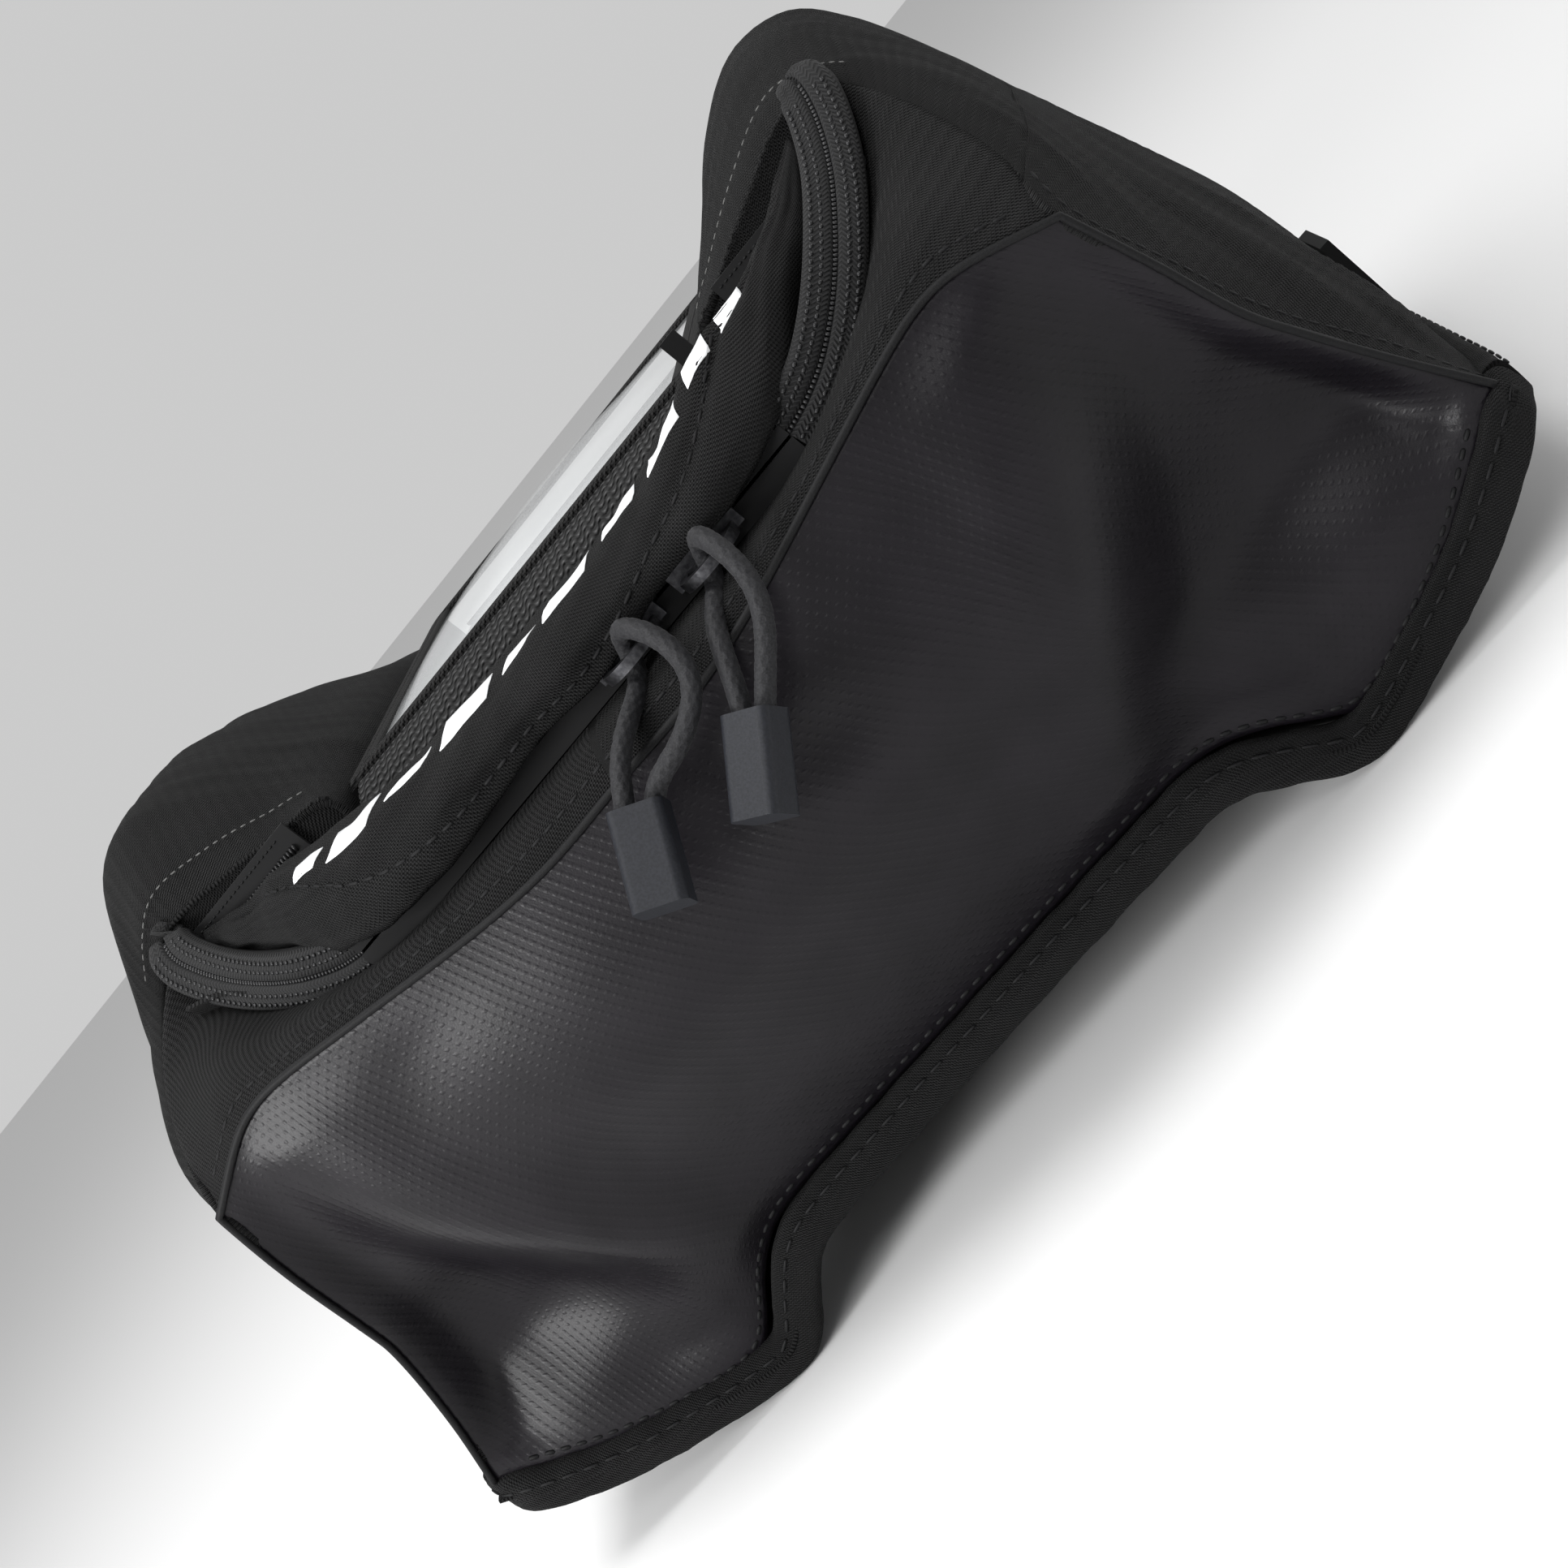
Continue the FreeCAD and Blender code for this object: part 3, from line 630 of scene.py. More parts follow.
band_top = smooth_through(list(reversed(on_left(band_zip_left)))[:-1] + band_zip_right, across_cells)
band_left = smooth_through(list(reversed(on_left(band_edge_left))), band_cells)
band_right = smooth_through(list(reversed(band_edge_right)), band_cells)
band_rows = sewn_patch(band_top, smooth_through(vinyl_top, across_cells), band_left, band_right)


def crease(x, y, z, seed, turn, long, short):
    """Soft creases that run one way across a cloth surface, from -1 to 1."""
    c, s = math.cos(turn), math.sin(turn)
    p = Vector(((x * c + y * s) / long, (y * c - x * s) / short, z / long + seed))
    return noise.noise(p) + 0.5 * noise.noise(p * 2.1)


for j, row in enumerate(band_rows):
    v = j / (len(band_rows) - 1)
    hold = min(1.0, 5 * min(v, 1 - v))
    for i, p in enumerate(row):
        u = i / across_cells
        side = min(1.0, 9 * min(u, 1 - u))
        swell = math.sin(math.pi * v) * (0.3 + 3.4 * min(1.0, max(0.0, (abs(p.x) - 88) / 32)))
        fold = crease(p.x, p.z, 0, 4.0, 0.9 if p.x > 0 else -0.9, 60, 9)
        fold *= 0.4 if abs(p.x) < 85 else 1.5
        push = (swell + fold * hold) * side
        p.y -= push * 0.8
        p.z += push * 0.35
band = sheet_mesh("front_band_cloth", band_rows)
band_map = band.data.uv_layers[0].data
for loop in band.data.loops:
    place = band.data.vertices[loop.vertex_index].co
    band_map[loop.index].uv = (place.x + place.y * (0.5 if place.x > 0 else -0.5),
                               place.z * 0.85 + place.y * 0.45)
facing(band, (0, -1, 0.3))
thicken(band, cloth_depth * mm)
finish_new(band, "bag", "bag_fabric", bag_cloth, "front_band")


# Gussets and side pods: one run of woven fabric on each side, up from the hem, over the pod's crest
# and down to the lid. A net of places, in rows from the front seam to the rear seam, gives its shape.
side_net = [
    [(170, -99.5, 38), (160, -103, 60), (149, -110, 85), (143, -120, 112), (138, -127, 134),
     (139.5, -114, 148), (137.5, -98, 161), (134, -84, 172), (129, -72, 181), (118, -68, 187),
     (100, -68, 182), (84, -68, 176), (68, -68, 169), (67.5, -68, 152)],
    [(172, -76, 38), (168.5, -78, 62), (160.5, -85, 88), (152.5, -95, 114), (148, -103, 134),
     (146.5, -98, 149), (144, -86, 162), (139.5, -74, 174), (132, -63, 186), (119, -59, 192),
     (101, -59, 187), (84, -59, 179), (68, -59, 169), (67.5, -59, 152)],
    [(172.3, -45, 38), (170.5, -45, 65), (166, -48, 92), (159.5, -52, 118), (155, -56, 136),
     (151.5, -55, 152), (147, -50, 168), (141, -44, 183), (132, -38, 196), (119, -36, 200),
     (102, -36, 194), (85, -38, 183), (68.5, -40, 169), (67.5, -40, 152)],
    [(172.3, -8, 38), (170.8, -8, 65), (168, -8, 92), (161.5, -8, 118), (156.5, -8, 136),
     (152, -8, 152), (147.5, -8, 169), (142, -8, 186), (133, -6, 199), (118, -6, 203),
     (101, -6, 196), (84, -8, 183), (68.5, -10, 168), (67.5, -10, 152)],
    [(172.3, 40, 38), (170.8, 40, 65), (168, 40, 92), (161.5, 40, 118), (156, 40, 136),
     (151.5, 40, 152), (146.5, 40, 168), (140.5, 40, 184), (131, 40, 196), (117, 40, 199),
     (100, 40, 191), (84, 40, 179), (68.5, 40, 166), (67.5, 40, 152)],
    [(172.3, 84, 38), (170.5, 84, 65), (166.5, 84, 92), (160, 84, 118), (154, 84, 136),
     (149, 84, 150), (143.5, 84, 163), (137, 84, 175), (127.5, 84, 185), (114, 84, 188),
     (98, 84, 181), (83, 84, 172), (68.5, 84, 163), (67.5, 84, 152)],
    [(171.5, 112, 38), (168, 112, 62), (160.5, 114, 88), (153.5, 115, 114), (147.5, 115, 133),
     (142, 113, 146), (136, 111, 156), (129, 109, 165), (120, 107, 172), (108, 107, 173),
     (94, 107, 169), (81, 108, 164), (68.5, 109, 158), (67.5, 109, 152)],
    [(170, 122.5, 38), (160, 124.5, 60), (149.5, 126.5, 86), (143, 125.5, 112), (138, 124.5, 131),
     (132.5, 122, 147), (126, 120.5, 152.5), (119, 119.5, 155.5), (111, 119, 157), (101, 118.5, 157),
     (90, 118.5, 156), (79, 118.5, 155), (68.5, 118.5, 154), (67.5, 118.5, 152)],
]
side_steps = 92
side_stations = 104


def side_surface(net, lift):
    """The fine grid of the side, in rows from the hem over the crest to the lid."""
    lines = [smooth_through(row, side_steps) for row in net]
    rows = []
    for j in range(side_steps + 1):
        rows.append(smooth_through([line[j] for line in lines], side_stations))
    for row in rows:
        for p in row:
            if p.z > 150:
                p.z -= lift * (p.z - 150) / 50
    return rows


def drape(rows, seed, lean):
    """Pulls a cloth surface into soft creases and hollows, held still along its edges."""
    down = len(rows) - 1
    across = len(rows[0]) - 1
    moved = [[p.copy() for p in row] for row in rows]
    for j in range(down + 1):
        for i in range(across + 1):
            a = rows[j][min(i + 1, across)] - rows[j][max(i - 1, 0)]
            b = rows[min(j + 1, down)][i] - rows[max(j - 1, 0)][i]
            normal = a.cross(b)
            if normal.length < 1e-9:
                continue
            normal.normalize()
            p = rows[j][i]
            if normal.dot(p - Vector((math.copysign(100, p.x), 0, 100))) < 0:
                normal = -normal
            u, v = i / across, j / down
            hold = min(1.0, 14 * min(u, 1 - u)) * min(1.0, 14 * min(v, 1 - v))
            near_front = math.exp(-((p.y + 95) / 55) ** 2)
            fold = crease(p.y, p.z, abs(p.x) * 0.5, seed, lean, 75, 11)
            fine = crease(p.y, p.z, abs(p.x) * 0.4, seed + 7, lean * 0.8, 40, 5)
            broad = noise.noise(Vector((p.y / 60, p.z / 45, seed + 2)))
            push = (0.7 + 1.0 * near_front) * fold + 0.28 * fine + 1.4 * broad
            moved[j][i] = p + normal * (push * hold)
    return moved


deck_step = 41
weave_rows = {}
for side, sign, lift, seed, lean in (("right", 1, 3.0, 11.0, 1.15), ("left", -1, 0.0, 23.0, 1.0)):
    net = side_net
    if side == "left":
        net = [list(row) for row in side_net]
        net[0][5:9] = band_edge_left[1:]
        net[0][9:12] = [(117, -66, 178), (100, -67, 176), (84, -68, 173)]
        net[1][5:9] = [(146, -97, 148), (143, -84, 160), (139, -72, 169), (132, -60, 179)]
        net[1][9:12] = [(119, -58, 187), (101, -58, 184), (84, -59, 177)]
    rows = side_surface(net, lift)
    rows = [[Vector((sign * p.x, p.y, p.z)) for p in row] for row in rows]
    rows = drape(rows, seed, lean)
    weave_rows[side] = rows
    gusset = cloth_piece("gusset_" + side + "_cloth", rows[:deck_step + 1], (sign, 0, 0), cloth_depth,
                         "bag", "bag_fabric", bag_cloth, "gusset_" + side)
    pod = cloth_piece("pod_" + side + "_cloth", rows[deck_step:], (0, 0, 1), cloth_depth,
                      "bag", "bag_fabric", bag_cloth, "pod_" + side, "front_corner_" + side)


# Rear panel: the same woven cloth, bulging like the front, down to the same saddle edge.
rear_top = both_ways([(0, 129, 150), (45, 129, 150), (90, 126, 149.5), (118, 122, 148.5),
                      (132.5, 121.5, 147)])
rear_side = [(132.5, 121.5, 147), (138, 124.5, 131), (143, 125.5, 112), (149.5, 126.5, 86), (160, 124.5, 60),
             (170, 122.5, 38)]
rear_bottom = both_ways([(0, 131, 32), (40, 131, 32), (66, 131, 31.5), (76, 130, 29), (86, 129, 23),
                         (95, 128, 15), (103, 127, 10), (116, 126, 12), (141, 125, 21.5),
                         (170, 122.5, 38)])
rear_across, rear_down = 110, 60
rear_right = smooth_through(rear_side, rear_down)
rear_left = [Vector((-p.x, p.y, p.z)) for p in rear_right]
rear_rows = sewn_patch(smooth_through(rear_top, rear_across), smooth_through(rear_bottom, rear_across),
                       rear_left, rear_right)
for j, row in enumerate(rear_rows):
    for i, p in enumerate(row):
        u, v = i / rear_across, j / rear_down
        hold = min(1.0, 8 * min(u, 1 - u)) * min(1.0, 8 * min(v, 1 - v))
        bulge = 9.5 * math.sin(math.pi * v) * max(0.0, 1 - (abs(p.x) / 150) ** 2.4)
        p.y += bulge + hold * (1.3 * noise.noise(Vector((p.x / 55, p.z / 40, 8.0)))
                               + 0.9 * crease(p.x, p.z, 0, 5.0, 1.2 if p.x > 0 else -1.2, 60, 12))
rear = cloth_piece("rear_panel_cloth", rear_rows, (0, 1, 0), cloth_depth, "bag", "bag_fabric", bag_cloth,
                   "rear_panel")


# Hem: a padded strip of cloth folded round the bottom edge and sewn through. It is made in four
# lengths, front, rear and one on each side, that meet at the corners.
hem_front_line = [(0, -101, 26), (30, -101, 26), (60, -101, 25.6), (69, -101, 24.6), (76, -100.5, 21.5),
                  (84, -99.5, 15), (91, -98.5, 8.8), (97, -98, 5.8), (104, -98, 6.2), (122, -98.6, 10.8),
                  (142, -99.5, 17.5), (160, -100, 26.5), (168, -98.5, 31.5), (172, -93, 33.8)]
hem_side_line = [(172, -93, 33.8), (172.3, -80, 34), (172.3, -40, 34), (172.3, 30, 34), (172.3, 90, 34),
                 (172.2, 108, 34), (171.6, 115.5, 33.8)]
hem_rear_line = [(171.6, 115.5, 33.8), (168, 121.5, 31.5), (160, 124, 26.5), (142, 125.5, 17.5),
                 (122, 126.5, 10.8), (104, 127.5, 6.2), (97, 128, 5.8), (91, 128.5, 8.8), (84, 129.5, 15),
                 (76, 130.5, 21.5), (69, 131, 24.6), (60, 131, 25.6), (30, 131, 26), (0, 131, 26)]
hem_thick = 3.4
hem_tall = 5.9
hem_step = 1.6


def turn_out(piece):
    """Turns the faces of closed shells outwards."""
    mesh = bmesh.new()
    mesh.from_mesh(piece.data)
    bmesh.ops.recalc_face_normals(mesh, faces=mesh.faces)
    mesh.to_mesh(piece.data)
    mesh.free()


def swept(name, places, frames, outline, closed_ends=True):
    """A closed outline carried along a line. Each frame gives the outward and upward directions."""
    around = len(outline)
    verts = [(p + out * a + up * b) * mm for p, (out, up) in zip(places, frames) for a, b in outline]
    piece = built(name, verts, ring_faces(len(places), around, 0, closed_ends))
    data = piece.data
    uv = data.uv_layers.new(name="UVMap").data
    run = run_along(places)
    girth = [0.0]
    for (a, b), (c, d) in zip(outline, outline[1:] + outline[:1]):
        girth.append(girth[-1] + math.hypot(c - a, d - b))
    for face in data.polygons:
        wrap = max(data.loops[k].vertex_index % around for k in face.loop_indices) == around - 1
        for k in face.loop_indices:
            v = data.loops[k].vertex_index
            g = v % around
            uv[k].uv = (run[v // around] * mm, (girth[around] if wrap and g == 0 else girth[g]) * mm)
        face.use_smooth = len(face.vertices) == 4
    turn_out(piece)
    return piece


def soft_outline(half_thick, half_tall, count, power=0.62):
    """A flattened round, like a folded padded binding in section."""
    points = []
    for k in range(count):
        turn = 2 * math.pi * k / count
        c, s = math.cos(turn), math.sin(turn)
        points.append((half_thick * math.copysign(abs(c) ** power, c),
                       half_tall * math.copysign(abs(s) ** power, s)))
    return points


def wall_frames(places):
    """Outward and upward directions along the bottom edge of a wall, seen from outside."""
    frames = []
    count = len(places)
    for i in range(count):
        way = (places[min(i + 2, count - 1)] - places[max(i - 2, 0)]).normalized()
        out = Vector((way.y, -way.x, 0)).normalized()
        frames.append((out, out.cross(way).normalized()))
    return frames


def hem_length(part, line, seed):
    """One length of the hem, with small puckers from its stitching."""
    places = smooth_through(line, int(run_along([Vector(p) for p in line])[-1] / hem_step))
    frames = wall_frames(places)
    puckered = []
    for p, (out, up) in zip(places, frames):
        pull = noise.noise(Vector((p.x / 7, p.y / 7, seed + p.z / 9)))
        sag = noise.noise(Vector((p.x / 3.1, p.y / 3.1, seed + 40)))
        puckered.append(p + out * (0.35 * pull) + up * (0.45 * pull + 0.2 * sag))
    piece = swept("hem_" + part + "_binding", puckered, frames, soft_outline(hem_thick, hem_tall, 20))
    finish_new(piece, "bag", "hem_fabric", hem_cloth, "hem_" + part)
    return places, frames


hem_runs = {
    "front": hem_length("front", both_ways(hem_front_line), 1.0),
    "right": hem_length("right", hem_side_line, 2.0),
    "rear": hem_length("rear", hem_rear_line[:-1] + list(reversed(on_left(hem_rear_line))), 3.0),
    "left": hem_length("left", list(reversed(on_left(hem_side_line))), 4.0),
}


# Stitches: short bars of thread pressed into the cloth, one joined set for each seam.
thread_grain = (4000, 2, 0.4, 0.0001)
thread_black, shader = grained("black_thread", (0.0045, 0.0045, 0.0048), 0.6, thread_grain,
                               (0.003, 0.003, 0.0033), (0.0085, 0.0085, 0.009), 0.15)
thread_grey, shader = grained("grey_thread", (0.09, 0.09, 0.088), 0.7, thread_grain,
                              (0.06, 0.06, 0.059), (0.13, 0.13, 0.126), 0.15)


def stitch_set(name, places, normals, pitch, long, wide, thread, sink=0.0, body="bag", slot="bag_fabric"):
    """Bars of thread laid end to end along a line on a surface."""
    run = run_along(places)
    verts = []
    faces = []
    want = pitch / 2
    i = 0
    rings = [(-0.5, 0.35), (-0.36, 0.9), (0.0, 1.0), (0.36, 0.9), (0.5, 0.35)]
    around = 6
    while want < run[-1] - long / 2:
        while run[i + 1] < want:
            i += 1
        t = (want - run[i]) / (run[i + 1] - run[i])
        spot = places[i].lerp(places[i + 1], t)
        way = (places[i + 1] - places[i]).normalized()
        out = normals[i].lerp(normals[i + 1], t)
        out = (out - way * out.dot(way)).normalized()
        side = way.cross(out)
        faces += ring_faces(len(rings), around, len(verts))
        for shift, size in rings:
            for k in range(around):
                turn = math.pi * k / 3
                verts.append((spot + way * (shift * long) + side * (math.cos(turn) * size * wide / 2)
                              + out * (math.sin(turn) * size * wide * 0.42 - sink)) * mm)
        want += pitch
    stitches = built(name, verts, faces)
    turn_out(stitches)
    finish_new(stitches, body, slot, thread)


def line_above(rows, distance, outward):
    """The line that lies a distance up from a sheet's bottom edge, and its outward directions."""
    places = []
    normals = []
    across = len(rows[0]) - 1
    for i in range(across + 1):
        gone = 0.0
        j = len(rows) - 1
        while j > 1:
            step = (rows[j - 1][i] - rows[j][i]).length
            if gone + step >= distance:
                break
            gone += step
            j -= 1
        t = (distance - gone) / max((rows[j - 1][i] - rows[j][i]).length, 1e-6)
        places.append(rows[j][i].lerp(rows[j - 1][i], min(t, 1.0)))
        a = rows[j][min(i + 1, across)] - rows[j][max(i - 1, 0)]
        b = rows[j - 1][i] - rows[j][i]
        n = a.cross(b).normalized()
        normals.append(n if n.dot(outward(places[-1])) > 0 else -n)
    return places, normals


def turned(rows):
    """The same sheet with its columns as rows."""
    return [[row[i] for row in rows] for i in range(len(rows[0]))]


def front_way(place):
    """The outward direction anywhere on the front."""
    return Vector((0, -1, 0.2))


def side_way(place):
    """The outward direction on the side that a place is on."""
    return Vector((math.copysign(1, place.x), -0.2, 0.2))


seam_gap = 5.5
places, normals = line_above(panel_rows, 3.2, front_way)
stitch_set("panel_hem_stitches", places[4:-4], normals[4:-4], 4.1, 2.7, 1.3, thread_black, 0.1)
places, normals = line_above(band_rows, seam_gap, front_way)
stitch_set("band_topstitches", places[3:-3], normals[3:-3], 4.0, 2.8, 0.9, thread_black, 0.05)
for side in ("right", "left"):
    side_sheet = list(reversed(turned(weave_rows[side][:deck_step + 1])))
    places, normals = line_above(side_sheet, seam_gap, side_way)
    stitch_set("gusset_" + side + "_topstitches", places, normals, 4.0, 2.8, 0.9, thread_black, 0.05)
for part in ("front", "right", "rear", "left"):
    places, frames = hem_runs[part]
    spots = [p + out * (hem_thick + 0.15) + up * (hem_tall * 0.45) for p, (out, up) in zip(places, frames)]
    stitch_set("hem_" + part + "_topstitches", spots, [out for out, up in frames], 5.6, 3.9, 0.9,
               thread_black, 0.05, slot="hem_fabric")
welt = [row[0] for row in reversed(panel_rows)] + panel_rows[0][1:-1] + [row[-1] for row in panel_rows]
welt = [p + Vector((0, -0.5, 0)) for p in welt]
welt_frames = []
for i in range(len(welt)):
    way = (welt[min(i + 1, len(welt) - 1)] - welt[max(i - 1, 0)]).normalized()
    out = Vector((0, -1, 0))
    out = (out - way * out.dot(way)).normalized()
    welt_frames.append((out, way.cross(out)))
seam_welt = swept("panel_seam_welt", welt, welt_frames, soft_outline(0.8, 0.9, 8, 1.0))
finish_new(seam_welt, "bag", "bag_fabric", thread_black)


# Main zip: coil zip with wide tapes. The middle is straight under the lip. Both ends climb the
# corner panels, where the tapes are folded in and sewn down at the front of each pod.
zip_cloth, tree, shader = new_material("zip_tape_cloth", (0.010, 0.010, 0.011), 0.7, 0.2, 0.03)
along, over, spot = surface_place(tree)
herring = calculated(tree, "SINE", plus(tree, times(tree, along, 2 * math.pi / 1.1),
                                        times(tree, calculated(tree, "PINGPONG", over, 1.1), 4.5)))
bumped(tree, shader, herring, 0.6, 0.0002)
# Painted shade and highlight: the colour follows the herringbone relief, darker in its hollows and lighter on
# its ribs.
varied_colour(tree, shader, herring, (0.004, 0.004, 0.0043), (0.013, 0.013, 0.0135), (-0.6, 0.9))
coil_plastic, shader = grained("zip_coil_nylon", (0.010, 0.010, 0.011), 0.4, (1500, 2, 0.25, 0.0001),
                               (0.005, 0.005, 0.0055), (0.013, 0.013, 0.0138), 0.35)


def dress(name, material):
    """Gives a CAD node the material of its real surface."""
    node = bpy.data.objects[name]
    node.data.materials.clear()
    node.data.materials.append(material)
    return node


dress("zip_tape_lower", zip_cloth)
dress("zip_tape_upper", zip_cloth)
zip_ends = {
    "right": [(71.8, -119.4, 146.6), (79, -117.4, 147.8), (87, -113.6, 150.3), (97, -106.5, 155.5),
              (107, -97, 162.5), (115.5, -87.5, 170), (121.5, -78.5, 178), (124, -72.5, 184),
              (122.5, -68.5, 186.5)],
    "left": [(-71.8, -117.2, 145.6), (-79, -112, 146.6), (-87, -106.4, 149.3), (-97, -98, 153.5),
             (-107, -88, 159), (-115, -79, 165.5), (-120, -71.5, 171.5), (-120.5, -66.5, 175.5),
             (-117.5, -64, 177)],
}
zip_across = {
    "right": [(0, 0.1, 1), (-0.2, 0.1, 0.95), (-0.55, 0.1, 0.8), (-0.8, 0.15, 0.58), (-0.83, 0.2, 0.52),
              (-0.8, 0.28, 0.5), (-0.76, 0.42, 0.45), (-0.72, 0.55, 0.4), (-0.68, 0.6, 0.4)],
    "left": [(0, 0.1, 1), (0.2, 0.12, 0.95), (0.5, 0.15, 0.8), (0.7, 0.2, 0.62), (0.76, 0.25, 0.55),
             (0.74, 0.35, 0.5), (0.66, 0.5, 0.45), (0.6, 0.6, 0.42), (0.58, 0.62, 0.4)],
}
tape_profile = [(-6.6, -3.4), (-6.7, -0.8), (-6.1, 0.5), (-4.8, 1.0), (-3.2, 1.1), (-1.6, 1.1), (-0.8, 0.9),
                (-0.35, 0.0), (0, -0.7), (0.35, 0.0), (0.8, 0.9), (1.6, 1.1), (3.2, 1.1), (4.8, 1.0),
                (6.1, 0.5), (6.7, -0.8), (6.6, -3.4), (4.0, -3.0), (0, -3.0), (-4.0, -3.0)]
zip_steps, row_end, coil_end = 84, 78, 80
coil_pitch = 1.1
for side in ("right", "left"):
    places = smooth_through(zip_ends[side], zip_steps)
    ways = smooth_through(zip_across[side], zip_steps)
    frames = []
    for i in range(len(places)):
        way = (places[min(i + 1, zip_steps)] - places[max(i - 1, 0)]).normalized()
        over = (ways[i] - way * ways[i].dot(way)).normalized()
        out = way.cross(over)
        if out.y > 0:
            out = -out
        frames.append((over, out))
    places = [p + out * (2.6 * min(1.0, i / 22)) for i, (p, (over, out)) in enumerate(zip(places, frames))]
    ribbon = swept("main_zip_end_" + side + "_tapes", places, frames, tape_profile)
    for v in ribbon.data.vertices:
        i = v.index // len(tape_profile)
        shut = min(1.0, math.sqrt(max(0.0, (zip_steps + 0.5 - i) / 7)))
        centre = places[i] * mm
        v.co = centre + (v.co - centre) * (0.45 + 0.55 * shut)
    finish_new(ribbon, "bag", "zip_tape", zip_cloth, "main_zip_end_" + side)
    outs = [out for over, out in frames]
    for k, shift in enumerate((-4.9, -2.8, 2.8, 4.9)):
        spots = [p + over * shift + out * 1.1 for p, (over, out) in zip(places, frames)]
        stitch_set("main_zip_end_" + side + "_stitch_row_" + str(k + 1), spots[:row_end], outs[:row_end],
                   1.9, 1.1, 1.0, coil_plastic, slot="zip_tape")
    spots = [p + out * 0.15 for p, out in zip(places, outs)]
    stitch_set("main_zip_end_" + side + "_coil", spots[:coil_end], outs[:coil_end], coil_pitch, 0.8, 1.6,
               coil_plastic, slot="zip_coil")

tooth_pitch = 1.4
tooth_sides = 8
for name, body in (("zip_coil_lower", "bag"), ("zip_coil_upper", "lid")):
    low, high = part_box(name)
    verts = []
    faces = []
    for tooth in range(int((high[0] - low[0]) / mm / tooth_pitch)):
        p = Vector((low[0] / mm + tooth_pitch * tooth, low[1] / mm + 1.0, (low[2] + high[2]) / 2 / mm))
        base = len(verts)
        for k in range(tooth_sides):
            turn = 2 * math.pi * k / tooth_sides
            for half in (-0.45, 0.45):
                verts.append((p + Vector((0.7 + half + 0.25 * math.sin(turn), 0.95 * math.cos(turn),
                                          0.8 * math.sin(turn)))) * mm)
        for k in range(tooth_sides):
            a = base + 2 * k
            b = base + 2 * ((k + 1) % tooth_sides)
            faces.append((a, a + 1, b + 1, b))
        faces.append(tuple(base + 2 * k for k in range(tooth_sides)))
        faces.append(tuple(base + 2 * k + 1 for k in reversed(range(tooth_sides))))
    coil = built(name + "_teeth", verts, faces, smooth=False)
    turn_out(coil)
    finish_new(coil, body, "zip_coil", coil_plastic, name)


# Lid lip: the front of the lid, rolled over the zip and lightly padded. It narrows along each end
# of the zip. A light reflective pattern of plain bars is printed on its upper side.
lip_stations = [
    (-112, [(-68, 168), (-71, 167.5), (-73.5, 168.5), (-73.5, 170),
            (-71.5, 171.5), (-69, 172), (-66.5, 171.5), (-67, 169)]),
    (-104, [(-77, 161), (-80, 161.5), (-82, 163), (-82, 165.5),
            (-80, 168.5), (-76.5, 170), (-72, 170), (-73, 163)]),
    (-91, [(-88, 155), (-94, 155.5), (-97, 157.5), (-97, 161.5),
           (-93, 166.5), (-86, 169), (-78, 168), (-79, 158)]),
    (-76, [(-98, 150.6), (-113.5, 150.2), (-116.6, 150.4), (-117, 157),
           (-106, 167.5), (-96, 168), (-85, 165), (-84, 153)]),
    (-58, [(-104, 150.4), (-123, 149.6), (-126.4, 145.8), (-127.2, 152.6),
           (-116.5, 163.4), (-103, 165.5), (-88, 161.5), (-86, 152)]),
    (-36, [(-106, 150.4), (-123, 149.5), (-126.6, 144.8), (-128.4, 152),
           (-119, 160.4), (-105, 162), (-89, 159), (-86, 152)]),
    (-12, [(-106, 150.4), (-123, 149.6), (-127, 146.2), (-128.6, 152),
           (-119, 159.2), (-105, 161), (-89, 158), (-86, 152)]),
    (12, [(-106, 150.4), (-123, 149.5), (-127, 145.2), (-128.6, 151.8),
          (-119, 159.4), (-105, 161.2), (-89, 158), (-86, 152)]),
    (36, [(-106, 150.4), (-123, 149.6), (-126.8, 146.6), (-128.4, 152.6),
          (-119, 160.6), (-105, 162.4), (-89, 159), (-86, 152)]),
    (58, [(-105, 150.4), (-122.8, 149.6), (-126, 146.6), (-127.2, 153.2),
          (-117, 164), (-104, 166), (-88, 162.5), (-86, 152)]),
    (76, [(-100, 151), (-115.5, 150.4), (-119.4, 151.6), (-119.2, 158.6),
          (-108, 168.5), (-97, 169.5), (-85, 167), (-84, 154)]),
    (91, [(-90, 157), (-98, 158), (-101.5, 160.5), (-101.5, 165),
          (-96, 170), (-88, 172), (-78, 171), (-79, 160)]),
    (105, [(-80, 166), (-85, 166.5), (-87.5, 168.5), (-87.5, 171.5),
           (-84.5, 175), (-79.5, 177), (-73, 176), (-74, 168)]),
    (114, [(-72, 176.5), (-74.5, 176.5), (-76.5, 177.5), (-76.5, 179),
           (-75, 180.5), (-72.5, 181.3), (-69.5, 180.5), (-70, 177.5)]),
]
lip_cells = 150
lip_round = 44


def loop_through(knots, count):
    """Places round a closed smooth loop."""
    wrapped = [knots[-1]] + list(knots) + [knots[0], knots[1]]
    fine = smooth_through(wrapped, count * 6)
    from_start = [(p - Vector(knots[0])).length for p in fine]
    half = len(fine) // 2
    start = min(range(half), key=from_start.__getitem__)
    stop = min(range(half, len(fine)), key=from_start.__getitem__)
    return evenly(fine[start:stop + 1], count)[:-1]


def stitch_share(x):
    """How far round the lip its topstitching runs: low in the middle, higher towards the ends."""
    return min(0.47, 0.262 + 0.12 * (abs(x) / 62) ** 2.4)


